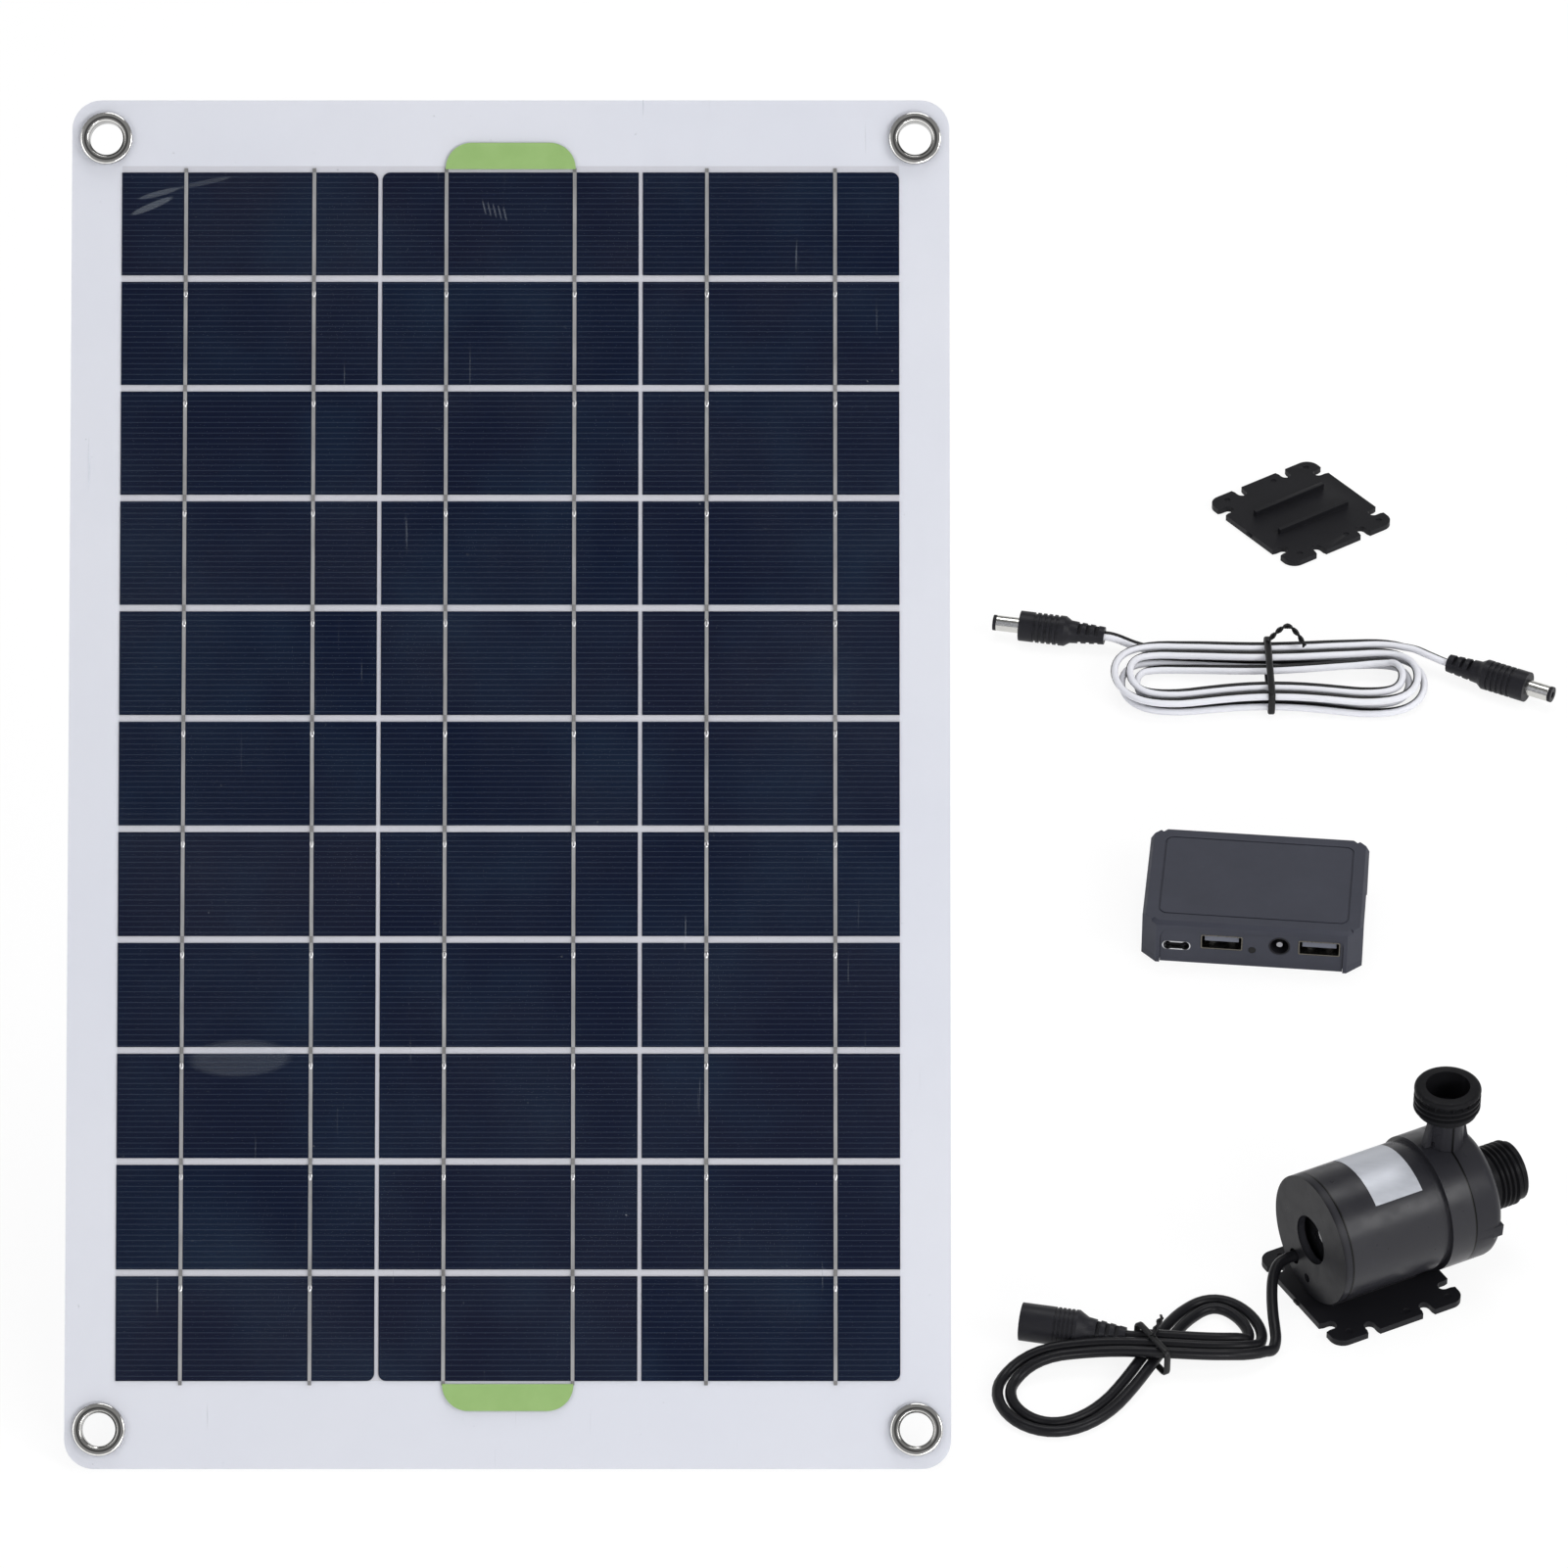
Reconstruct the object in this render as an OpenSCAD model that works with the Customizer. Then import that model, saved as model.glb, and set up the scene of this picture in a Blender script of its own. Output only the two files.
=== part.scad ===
// Solar fountain pump kit: a flexible solar panel, a battery box, a twin lead with two plugs,
// a spare base plate, and a submersible pump with its tied cord. Everything stands on z = 0,
// with the origin under the middle of the pump's base plate.

/* [Solar panel] */
// Width of the panel
panel_w = 270; // [250:1:320]
// Height of the panel along its slope
panel_h = 420; // [410:1:480]
// Corner radius of the panel
panel_corner = 9; // [4:0.5:11]
// Lean of the panel, measured from the floor
panel_tilt = 50; // [35:1:70]
// Thickness of the white backing board
board_t = 1.6; // [1:0.1:3]
// Thickness of a cell
cell_t = 0.4; // [0.3:0.05:0.6]
// Thickness of a ribbon on the cells
ribbon_t = 0.15; // [0.1:0.05:0.3]
// Clear film above the ribbons
film_t = 0.35; // [0.2:0.05:0.8]
// Columns of cells
cell_columns = 3; // [2:1:3]
// Rows of cells
cell_rows = 11; // [6:1:11]
// Width of a cell
cell_w = 78.85; // [70:0.05:78.85]
// Height of a cell
cell_h = 31.85; // [28:0.05:31.85]
// Gap between columns
column_gap = 1.25; // [1:0.05:3]
// Gap between rows
row_gap = 2.05; // [1:0.05:2.5]
// Margin below the lowest row
bottom_margin = 26.7; // [26:0.1:30]
// Cut corner of a wafer at the ends of a column
wafer_corner = 2.4; // [1:0.1:4]
// Width of a ribbon
ribbon_w = 1.1; // [1:0.1:2]
// Ribbon length past the end cells
ribbon_past = 1.3; // [0.5:0.1:3]
// Bore of an eyelet
eyelet_bore = 10.2; // [8:0.1:11]
// Outer diameter of an eyelet's rolled rim
eyelet_rim = 16.2; // [15:0.1:18]
// Eyelet axis from the side edge
eyelet_side = 10.6; // [9.5:0.1:12]
// Eyelet axis from the top or bottom edge
eyelet_end = 12; // [10:0.1:14]
// Width of the junction box
jbox_w = 58; // [45:1:90]
// Height of the junction box along the panel
jbox_h = 42; // [34:1:70]
// Depth of the junction box with its lid
jbox_d = 14; // [13.5:0.5:20]
// Middle of the junction box below the panel's upper edge
jbox_down = 75; // [70:1:120]

/* [Battery box] */
// Width of the box across its ports
bank_w = 73; // [72:1:90]
// Depth of the box
bank_d = 53; // [50:1:80]
// Height of the box
bank_h = 16.5; // [16:0.5:22]
// Cut corners of the plan
bank_chamfer = 5; // [4:0.25:6]
// Wall of the cover
bank_wall = 2.6; // [2.2:0.1:3]
// Thickness of the base
bank_base_t = 2.2; // [1.8:0.1:2.8]
// Depth of the recess in the sides
bank_recess = 1; // [0.6:0.1:1.2]
// Width of the port panel
port_w = 60.5; // [60:0.5:61]
// Height of the port panel
port_h = 13.5; // [13:0.25:13.75]
// Width of a rectangular socket
socket_w = 13.8; // [13:0.1:14]
// Height of a rectangular socket
socket_h = 5.6; // [5.2:0.1:6]
// Diameter of the round jack
jack_d = 6.9; // [6.4:0.1:7.2]

/* [Lead] */
// Width of the twin cord
lead_w = 4.8; // [4:0.1:5]
// Height of the twin cord
lead_h = 2.4; // [2:0.1:2.5]
// Half length of the outer loop
lead_half_l = 55; // [52:0.5:58]
// Half width that the loops would have with no waist
lead_half_w = 36; // [35:0.5:38]
// How far the loops draw in at the waist
lead_waist = 0.56; // [0.5:0.01:0.58]
// Turns laid down before the spiral reverses
lead_turns_in = 2; // [1:1:2]
// Diameter of a plug's barrel
barrel_d = 5.5; // [5:0.1:6]
// Length of a plug's barrel
barrel_l = 9.5; // [8:0.1:12]
// Bore of a plug's barrel
barrel_bore = 2.2; // [2:0.1:2.6]
// Diameter of a plug's moulding
plug_d = 10.6; // [9:0.1:11]
// Length of a plug's moulding
plug_l = 18; // [15:0.5:24]
// Length of a plug's strain relief
relief_l = 12; // [9:0.5:14]

/* [Pump] */
// Diameter of the motor housing
body_d = 42; // [41:0.1:44]
// Wall of the motor housing
body_wall = 2.4; // [2:0.1:3]
// Thickness of the rear cap
cap_t = 3; // [2:0.1:4]
// Length of the plain housing
housing_l = 33; // [32:0.5:40]
// Length of the groove in front of the housing
groove_l = 2.5; // [1.5:0.1:4]
// Length of the flange ring
flange_l = 8.5; // [8:0.1:11]
// How far flange and head stand out over the housing
flange_step = 1; // [0.5:0.1:1.4]
// Length of the head's rim
head_l = 7; // [6.5:0.1:9]
// Depth of the head's dome
dome_l = 5; // [4:0.1:8]
// Outer diameter of the pipe threads
thread_d = 20.9; // [20:0.1:22]
// Bore of the pipe ends
pipe_bore = 13.8; // [12.5:0.1:14.5]
// Length of the inlet thread
inlet_l = 11; // [9:0.5:15]
// Plain neck behind the inlet thread
inlet_neck = 4; // [3:0.5:6]
// Outlet rim above the pump's axis
outlet_h = 43.5; // [42:0.1:52]
// Height of the outlet collar
collar_h = 11.3; // [10:0.1:13]
// Diameter of the outlet neck
neck_d = 11.4; // [11:0.1:12.4]
// Diameter of the impeller
impeller_d = 32; // [28:0.5:33]
// Blades on the impeller
blades = 6; // [4:1:8]
// Diameter of the ceramic shaft
shaft_d = 4; // [3:0.1:4.4]
// Outer diameter of the rotor magnet
magnet_d = 15.2; // [13:0.1:15.4]
// Teeth of the stator
stator_teeth = 6; // [4:1:6]
// Running clearance of the rotor on its shaft
run_clear = 0.05; // [0.02:0.01:0.09]

/* [Base plates] */
// Length of a base plate along its ribs
plate_l = 47; // [46:0.5:52]
// Width of a base plate across its ribs
plate_w = 49; // [47:0.5:54]
// Thickness of a base plate
plate_t = 2.2; // [1.6:0.1:3]
// Spacing of the two ribs
rib_gap = 14; // [12:0.5:18]
// Width of a rib
rib_w = 1.6; // [1.2:0.1:2.4]
// Length of a rib
rib_l = 31; // [24:0.5:33]
// Height of a rib
rib_h = 2.2; // [2.1:0.1:3]
// Width of a notch
notch_w = 3.6; // [3:0.1:4.5]
// Depth of a notch
notch_depth = 4.8; // [3.5:0.1:6]

/* [Pump cord] */
// Diameter of the pump cord
cord_d = 3.6; // [3:0.1:3.7]
// Middle of the two loop lengths of the tied cord
cord_half_l = 44; // [43:0.5:45]
// How much longer the loop away from the pump is
cord_uneven = 8; // [6:0.5:10]
// Width factor of the cord's loops
cord_half_w = 29; // [28:0.5:31]
// Diameter of the cord's socket
socket_d = 12; // [11:0.1:12.2]
// Length of the socket's moulding
socket_l = 21; // [18:0.5:28]

/* [Hidden] */
$fn = 64;
over = 1;
fit = 0.1;
seat_clear = 0.05;

// Panel: layers from the back, cell grid and eyelets
panel_at = [-265, -89, 0];
panel_t = board_t + cell_t + ribbon_t + film_t;
grid_w = cell_columns * cell_w + (cell_columns - 1) * column_gap;
grid_h = cell_rows * cell_h + (cell_rows - 1) * row_gap;
eyelet_wall = 0.6;
rim_high = 1.3;
washer_t = 0.6;
jbox_up = panel_h - jbox_down;
jbox_wall = 1.8;
jbox_lid_t = 2;
jbox_corner = 4;
dc_bore = 5.6;
dc_pin = 2;
dc_sleeve_wall = 1;
dc_depth = 11;

// Battery box
bank_at = [-24, 189, 0];
bank_yaw = -6;
post_l = 9;
port_t = 1.6;
port_set_back = 0.8;
port_corner = 3;
rim_cut = 1.2;
rim_depth = 2.4;
groove_in = 5;
groove_w = 0.6;
groove_deep = 0.4;
top_wall = 2;
post_h = 0.8;
pcb_t = 1.2;
pcb_back = 19;
pcb_w = 56;
port_front = -bank_d / 2 + port_set_back;
pcb_top = bank_base_t + post_h + pcb_t;
socket_wall = 0.4;
socket_depth = 13;
oval_w = 9.4;
oval_h = 3.3;
oval_depth = 8;
oval_x = -24.8;
socket_xs = [-9.9, 22.3];
lamp_x = 0.2;
lamp_d = 2.4;
jack_x = 9.2;
jack_wall = 1.2;
jack_depth = 12;
port_z = pcb_top + jack_d / 2 + jack_wall;
oval_z = 6.6;
port_room = 0.3;
pouch_gap = 2;

// Lead: plugs and loops
lead_at = [-12.7, 322];
lead_gap = 0.5;
lead_step = lead_w + lead_gap;
lead_layer = lead_h + lead_gap;
tie_t = 0.9;
tie_w = 2.4;
tie_clear = 0.4;
tie_seat = 0.1;
tie_bend = 1.2;
run_square = 2;
lead_lift = 30;
plug_z = plug_d / 2;
tip_l = 1.2;
barrel_seat = barrel_d / 2 - 0.4;
seat_l = 3;
relief_r = 3.1;
relief_wide = 4;
grip_ribs = 5;
left_plug_yaw = 168;
right_plug_yaw = -29;
left_plug_at = [-69, 346.5, plug_z];
right_plug_at = [50, 330, plug_z];
lead_start = -25;
lead_end = 58;
loop_rings = 24;

// Pump: stations along the axis from the rear face
pump_yaw = 28;
body_r = body_d / 2;
flange_r = body_r + flange_step;
cavity_r = body_r - body_wall;
groove_r = body_r - 0.6;
base_station = 19.5;
axis_h = plate_t + rib_h + seat_clear + sqrt(pow(body_r, 2) - pow((rib_gap - rib_w) / 2, 2));
groove_x = cap_t + housing_l;
flange_x = groove_x + groove_l;
seam_x = flange_x + flange_l;
rim_x = seam_x + head_l;
hub_x = rim_x + dome_l;
hub_r = 13;
thread_x = hub_x + inlet_neck;
inlet_x = thread_x + inlet_l;
spigot_l = 2;
spigot_wall = 1.6;
cap_hole_r = 8;
cord_hole = [8.9, -12.8];
slot_hole = [1, -16];
slot_w = 3;
chamber_r = flange_r - 4.5;
chamber_x = seam_x - 4.5;
chamber_front = rim_x - 2;
can_gap = 0.6;
can_wall = 1;
can_r = magnet_d / 2 + can_gap + can_wall;
can_floor = 1.5;
can_x = cap_t + 9;
can_flange_r = can_r + 4.5;
can_flange_t = 2;
boss_r = 2.9;
boss_x = cap_t + 1.6;
shaft_r = shaft_d / 2;
shaft_x = can_x - 2;
washer_r = shaft_r + 1.4;
thrust_t = 0.6;
end_play = 0.35;
rotor_x = can_x + can_floor + thrust_t + end_play;
spider_x = chamber_front + 1.2;
spider_t = 3;
spider_hub = shaft_r + 1.6;
spider_arm = 1.6;
eye_end = spider_x + spider_t + 0.8;
rotor_end = spider_x - thrust_t - end_play;
bush_wall = 1;
bush_l = 6;
sleeve_wall = 1.1;
bush_r = shaft_r + run_clear + bush_wall;
sleeve_r = bush_r + fit / 2 + sleeve_wall;
magnet_x = rotor_x + 1;
magnet_l = groove_x - magnet_x;
disc_t = 1.4;
disc_x = chamber_x + 0.8;
vane_end = chamber_front - 0.8;
vane_t = 1.4;
vane_inset = 0.4;
ring_r = (chamber_r + flange_r) / 2;
ring_section = 0.75;
ring_groove = 1.7;
stator_x = can_x + 7;
stator_l = groove_x - stator_x - 3;
stator_r = cavity_r - fit * 2;
stator_bore = can_r + 0.3;
yoke_t = 2.7;
tooth_w = 4;
shoe_t = 1.4;
coil_t = 1.5;
pcb_x = can_x - 3.4;
pcb_r = cavity_r - 0.4;
can_clear = 0.6;
cord_r = cord_d / 2;
gland_r = cord_r + 0.7;
gland_in = 1;
outlet_x = seam_x + 0.7;
neck_floor = 2;
outlet_slot = [seam_x + 0.9, chamber_front - 0.2];
neck_bore = 8.4;
thread_r = thread_d / 2;
pipe_r = pipe_bore / 2;
eye_r = pipe_r - 0.5;
collar_chamfer = 2;
web_t = 2.4;
web_l = 8;
lug = [4, 4, 2.4];
head_lugs = [-85, 35, 155];
head_lug = [2.6, 4.4, 3.4];
head_lug_set = 0.5;

// Base plates
spare_at = [4, 429, 0];
spare_yaw = 35.5;
plate_corner = 4.5;
side_notch = 10;
end_notch = plate_w / 2 - 8.8;
notch_flare = 0.7;
dimple_r = 1.1;
dimple_deep = 0.3;
dimple_xs = [-17, 4, 19];
dimple_y = plate_w / 2 - 3.7;
nub = [0.6, 2.4, 1];
foot_half = rib_gap / 2 - rib_w / 2 - 0.2;

// Pump cord: tied loops and the hand laid run from the rear cap
cord_at = [-67, -38];
cord_turn = 30;
cord_gap = 0.5;
cord_step = cord_d + cord_gap;
cord_skew = 0.146;
cord_start = 40;
cord_end = 812;
cord_lift = 22;
socket_at = [-75, -33.2, socket_d / 2 + 0.05];
socket_yaw = 168;
socket_sleeve_wall = 0.6;
run_points = [
    [-25.8, -3.8, 11.4],
    [-30, -8, 9.4],
    [-31, -14.5, 6.4],
    [-29, -21.5, 4],
    [-27.4, -28, 3.1]
];
left_run_points = [[-64, 345.5, 4.6], [-58.5, 344.3, 2.4], [-53, 343.2, 1.4], [-47, 341.9, 1.3]];
right_run_points = [[43, 334, 4.7]];

// Colours
white_sheet = [0.87, 0.88, 0.91];
cell_blue = [0.08, 0.11, 0.2];
tin = [0.72, 0.73, 0.75];
clear_film = [0.85, 0.9, 0.95, 0.25];
nickel = [0.78, 0.77, 0.74];
black_plastic = [0.12, 0.12, 0.13];
dark_grey = [0.2, 0.2, 0.21];
slate = [0.27, 0.28, 0.31];
board_green = [0.1, 0.35, 0.2];
copper = [0.72, 0.42, 0.25];
white_cord = [0.85, 0.85, 0.84];
ceramic = [0.9, 0.89, 0.85];

// Shared shapes

module rounded_rect(w, h, r) {
    square([w - 2 * r, h], center = true);
    square([w, h - 2 * r], center = true);
    for (x = [-1, 1], y = [-1, 1])
        translate([x * (w / 2 - r), y * (h / 2 - r)]) circle(r);
}

// A corner of a square that is left outside a rounded corner
module corner_waste(r) {
    difference() {
        translate([-over, -over]) square(r + over);
        translate([r, r]) circle(r);
    }
}

module rod(r, from, to) {
    translate([0, 0, from]) cylinder(r = r, h = to - from);
}

module ring(r_out, r_in, from, to) {
    difference() {
        rod(r_out, from, to);
        rod(r_in, from - over, to + over);
    }
}

// Turns a shape that stands on +z to lie along +x
module lay_x() {
    rotate([0, 90, 0]) children();
}

// Turns a shape that stands on +z to run along +y
module lay_y() {
    rotate([-90, 0, 0]) children();
}

module on_panel() {
    translate(panel_at) rotate([panel_tilt, 0, 0]) children();
}

module in_bank() {
    translate(bank_at) rotate([0, 0, bank_yaw]) children();
}

module in_pump() {
    rotate([0, 0, pump_yaw]) translate([-base_station, 0, axis_h]) children();
}

// Tubes that follow a path

function unit(v) = v / norm(v);
function smooth(x) = let (c = min(1, max(0, x))) c * c * (3 - 2 * c);
function path_ahead(path, i) =
    unit(path[min(i + 1, len(path) - 1)] - path[max(i - 1, 0)]);

// Ring of points around path point i, with the section's first axis level
function path_ring(path, i, section) =
    let (
        ahead = path_ahead(path, i),
        side = unit(cross(ahead, [0, 0, 1])),
        up = cross(side, ahead)
    )
    [for (p = section) path[i] + side * p[0] + up * p[1]];

// One closed tube from path point first to path point last, with flat ends
module tube_along(path, section, first, last) {
    sides = len(section);
    rings = last - first + 1;
    body = [for (i = [first:last]) each path_ring(path, i, section)];
    points = concat(body, [path[first], path[last]]);
    walls = [
        for (i = [0:rings - 2], k = [0:sides - 1])
            let (
                a = i * sides + k,
                b = i * sides + (k + 1) % sides
            )
            each [[a, b, a + sides], [b, b + sides, a + sides]]
    ];
    start_cap = [for (k = [0:sides - 1]) [(k + 1) % sides, k, rings * sides]];
    top = (rings - 1) * sides;
    end_cap = [for (k = [0:sides - 1]) [top + k, top + (k + 1) % sides, rings * sides + 1]];
    polyhedron(points = points, faces = concat(walls, start_cap, end_cap));
}

// Least distance between the surfaces of passes that are skip or more rings apart
function least_gap(path, section, skip) =
    let (rings = [for (i = [0:len(path) - 1]) path_ring(path, i, section)])
    min([
        for (i = [0:len(path) - 1 - skip], j = [i + skip:len(path) - 1])
            if (norm(path[i] - path[j]) < 4 * norm(section[0]))
                each [for (a = rings[i], b = rings[j]) norm(a - b)]
    ]);

twin_section = [
    [lead_w / 2, 0],
    [lead_w / 3, -lead_h * 0.48],
    [0, -lead_h * 0.32],
    [-lead_w / 3, -lead_h * 0.48],
    [-lead_w / 2, 0],
    [-lead_w / 3, lead_h * 0.48],
    [0, lead_h * 0.32],
    [lead_w / 3, lead_h * 0.48]
];
round_section = [for (k = [0:7]) cord_r * [cos(k * 45), -sin(k * 45)]];

// Lead loops: a waisted oval, spiralling in on the floor and out again one layer up
function lead_oval(f) =
    [lead_half_l * cos(f), lead_half_w * sin(f) * (1 - lead_waist * pow(sin(f), 2))];
function lead_slope(f) =
    [-lead_half_l * sin(f), lead_half_w * cos(f) * (1 - 3 * lead_waist * pow(sin(f), 2))];
function lead_inset(a) =
    lead_step * min(a, 720 * lead_turns_in - a) / 360;
function lead_point(a) =
    let (
        f = 90 - a,
        d = unit(lead_slope(f)),
        flat = lead_oval(f) + lead_inset(a) * [-d[1], d[0]],
        climb = smooth((a - 360 * lead_turns_in + 90) / 180),
        lift = (tie_t + tie_seat) * max(0, 1 - pow(flat[0] / lead_lift, 2))
    )
    [lead_at[0] + flat[0], lead_at[1] + flat[1], lead_h / 2 + lift + lead_layer * climb];
lead_span = 720 * lead_turns_in + lead_end - lead_start;
lead_steps = ceil(lead_span / 360 * loop_rings);
lead_loops = [for (k = [0:lead_steps]) lead_point(lead_start + lead_span * k / lead_steps)];
lead_in = unit(lead_loops[1] - lead_loops[0]);
lead_out = unit(lead_loops[lead_steps] - lead_loops[lead_steps - 1]);
left_end = left_plug_at - run_square * [cos(left_plug_yaw), sin(left_plug_yaw), 0];
right_end = right_plug_at - run_square * [cos(right_plug_yaw), sin(right_plug_yaw), 0];
left_run = concat([left_plug_at, left_end], left_run_points, [lead_loops[0] - lead_w * lead_in]);
right_run = concat([lead_loops[lead_steps] + lead_w * lead_out], right_run_points, [right_end, right_plug_at]);
lead_path = concat(left_run, lead_loops, right_run);
lead_first = len(left_run);
lead_last = lead_first + lead_steps;

pump_axis = [cos(pump_yaw), sin(pump_yaw), 0];
function in_pump_point(p) =
    (p[0] - base_station) * pump_axis + p[1] * [-sin(pump_yaw), cos(pump_yaw), 0] + [0, 0, axis_h + p[2]];

// Pump cord loops: a figure of eight whose passes from pump side to socket side ride on top
function cord_eight(w) = [
    cord_half_l * cos(w) - cord_uneven * pow(cos(w), 2),
    -cord_half_w * (1 - cord_skew * cos(w)) * sin(w) * cos(w)
];
function cord_slope(w) = [
    -cord_half_l * sin(w) + 2 * cord_uneven * cos(w) * sin(w),
    -cord_half_w * ((1 - cord_skew * cos(w)) * cos(2 * w) + cord_skew * pow(sin(w), 2) * cos(w))
];
function cord_point(w) =
    let (
        d = unit(cord_slope(w)),
        flat = cord_eight(w) + cord_step * (w - 450) / 360 * [d[1], -d[0]],
        over_top = smooth((sin(w) - 0.45) / 0.45),
        lift = (tie_t + tie_seat) * max(0, 1 - pow(flat[0] / cord_lift, 2)),
        x = flat[0] * cos(cord_turn) - flat[1] * sin(cord_turn),
        y = flat[0] * sin(cord_turn) + flat[1] * cos(cord_turn)
    )
    [cord_at[0] + x, cord_at[1] + y, cord_r + lift + cord_step * over_top];
cord_span = cord_end - cord_start;
cord_steps = ceil(cord_span / 360 * loop_rings * 1.25);
cord_loops = [for (k = [0:cord_steps]) cord_point(cord_start + cord_span * k / cord_steps)];
cord_in = unit(cord_loops[1] - cord_loops[0]);
cord_exit = in_pump_point([gland_in, cord_hole[0], cord_hole[1]]);
cord_run = concat([cord_exit, cord_exit - 4 * pump_axis], run_points, [cord_loops[0] - cord_d * cord_in]);
socket_axis = [cos(socket_yaw), sin(socket_yaw), 0];
cord_path = concat(cord_run, cord_loops, [socket_at - 0.6 * cord_d * socket_axis, socket_at]);
cord_first = len(cord_run);
cord_last = len(cord_path) - 1;

echo(lead_least_gap = least_gap(lead_path, twin_section, 8));  // lead_hank
echo(cord_least_gap = least_gap(cord_path, round_section, 8));  // pump_cord_hank

// Solar panel

module panel_outline() {
    translate([0, panel_h / 2]) rounded_rect(panel_w, panel_h, panel_corner);
}

module at_eyelets() {
    for (x = [-1, 1], y = [eyelet_end, panel_h - eyelet_end])
        translate([x * (panel_w / 2 - eyelet_side), y, 0]) children();
}

module panel_holes() {
    at_eyelets() circle(eyelet_bore / 2 + eyelet_wall);
}

// One cell, with cut corners where a wafer's rounded edge falls on the end of a column
module cell_shape(column, row) {
    right_edge = column % 2 == 0;
    difference() {
        square([cell_w, cell_h]);
        if (row == 0)
            translate([right_edge ? cell_w : 0, 0])
                mirror([right_edge ? 1 : 0, 0]) corner_waste(wafer_corner);
        if (row == cell_rows - 1)
            translate([right_edge ? cell_w : 0, cell_h])
                mirror([0, 1]) mirror([right_edge ? 1 : 0, 0]) corner_waste(wafer_corner);
    }
}

module cell_grid() {
    for (column = [0:cell_columns - 1], row = [0:cell_rows - 1])
        translate([
            -grid_w / 2 + column * (cell_w + column_gap),
            bottom_margin + row * (cell_h + row_gap)
        ])
            cell_shape(column, row);
}

module ribbon_grid() {
    for (column = [0:cell_columns - 1], part = [0.25, 0.75])
        translate([
            -grid_w / 2 + column * (cell_w + column_gap) + part * cell_w - ribbon_w / 2,
            bottom_margin - ribbon_past
        ])
            square([ribbon_w, grid_h + 2 * ribbon_past]);
}

module panel_board() {
    color(white_sheet) on_panel() linear_extrude(board_t) difference() {
        panel_outline();
        panel_holes();
    }
}

module solar_cells() {
    color(cell_blue) on_panel() translate([0, 0, board_t]) linear_extrude(cell_t) cell_grid();
}

module cell_ribbons() {
    color(tin) on_panel() translate([0, 0, board_t + cell_t]) linear_extrude(ribbon_t) ribbon_grid();
}

module front_film() {
    color(clear_film) on_panel() {
        translate([0, 0, board_t]) linear_extrude(cell_t) difference() {
            panel_outline();
            panel_holes();
            cell_grid();
        }
        translate([0, 0, board_t + cell_t]) linear_extrude(ribbon_t) difference() {
            panel_outline();
            panel_holes();
            ribbon_grid();
        }
        translate([0, 0, board_t + cell_t + ribbon_t]) linear_extrude(film_t) difference() {
            panel_outline();
            panel_holes();
        }
    }
}

// Eyelet with a rolled front rim and a barrel that is spread over the washer
module eyelet() {
    bore_r = eyelet_bore / 2;
    roll = rim_high / 2;
    difference() {
        union() {
            rod(bore_r + eyelet_wall, -washer_t, panel_t);
            rod(eyelet_rim / 2 - roll, panel_t, panel_t + rim_high);
            translate([0, 0, panel_t + roll])
                rotate_extrude() translate([eyelet_rim / 2 - roll, 0]) circle(roll);
            rod(bore_r + eyelet_wall + 0.8, -washer_t - 0.5, -washer_t);
        }
        rod(bore_r, -over * 3, panel_t + over * 3);
        translate([0, 0, panel_t + rim_high - roll])
            cylinder(r1 = bore_r, r2 = bore_r + roll, h = roll);
    }
}

module eyelets() {
    color(nickel) on_panel() at_eyelets() eyelet();
}

module eyelet_washers() {
    color(nickel) on_panel() at_eyelets()
        ring(eyelet_rim / 2, eyelet_bore / 2 + eyelet_wall, -washer_t, 0);
}

// Junction box on the back, with its socket in the lower wall
module on_jbox() {
    on_panel() translate([0, jbox_up, 0]) children();
}

jbox_tray = jbox_d - jbox_lid_t;
dc_r = dc_bore / 2 + dc_sleeve_wall;

module at_jbox_socket() {
    translate([0, -jbox_h / 2, -jbox_wall - fit - dc_r]) lay_y() children();
}

module junction_box() {
    color(black_plastic) on_jbox() difference() {
        translate([0, 0, -jbox_tray]) linear_extrude(jbox_tray) rounded_rect(jbox_w, jbox_h, jbox_corner);
        translate([0, 0, -jbox_tray - over]) linear_extrude(jbox_tray - jbox_wall + over)
            rounded_rect(jbox_w - 2 * jbox_wall, jbox_h - 2 * jbox_wall, jbox_corner - jbox_wall);
        at_jbox_socket() rod(dc_r + fit / 2, -over, jbox_wall + over);
    }
}

module junction_lid() {
    lip = 1.4;
    w = jbox_w - 2 * jbox_wall - 2 * fit;
    h = jbox_h - 2 * jbox_wall - 2 * fit;
    r = jbox_corner - jbox_wall - fit;
    color(black_plastic) on_jbox() {
        translate([0, 0, -jbox_d]) linear_extrude(jbox_lid_t) rounded_rect(jbox_w, jbox_h, jbox_corner);
        translate([0, 0, -jbox_tray]) linear_extrude(lip) difference() {
            rounded_rect(w, h, r);
            rounded_rect(w - 2 * lip, h - 2 * lip, r - lip / 2);
        }
    }
}

module dc_socket_body(r_out) {
    difference() {
        rod(r_out, 0, dc_depth);
        rod(dc_bore / 2, -over, dc_depth - jbox_wall);
        rod(dc_pin / 2, 0, dc_depth + over);
    }
}

module junction_socket() {
    color(dark_grey) on_jbox() at_jbox_socket() dc_socket_body(dc_r);
}

module junction_pin() {
    color(nickel) on_jbox() at_jbox_socket() rod(dc_pin / 2, 1.5, dc_depth);
}

// Battery box

module bank_outline(inset = 0) {
    w = bank_w / 2 - inset;
    d = bank_d / 2 - inset;
    c = bank_chamfer - inset * 0.586;
    polygon([
        [w - c, -d], [w, -d + c], [w, d - c], [w - c, d],
        [-w + c, d], [-w, d - c], [-w, -d + c], [-w + c, -d]
    ]);
}

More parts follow.
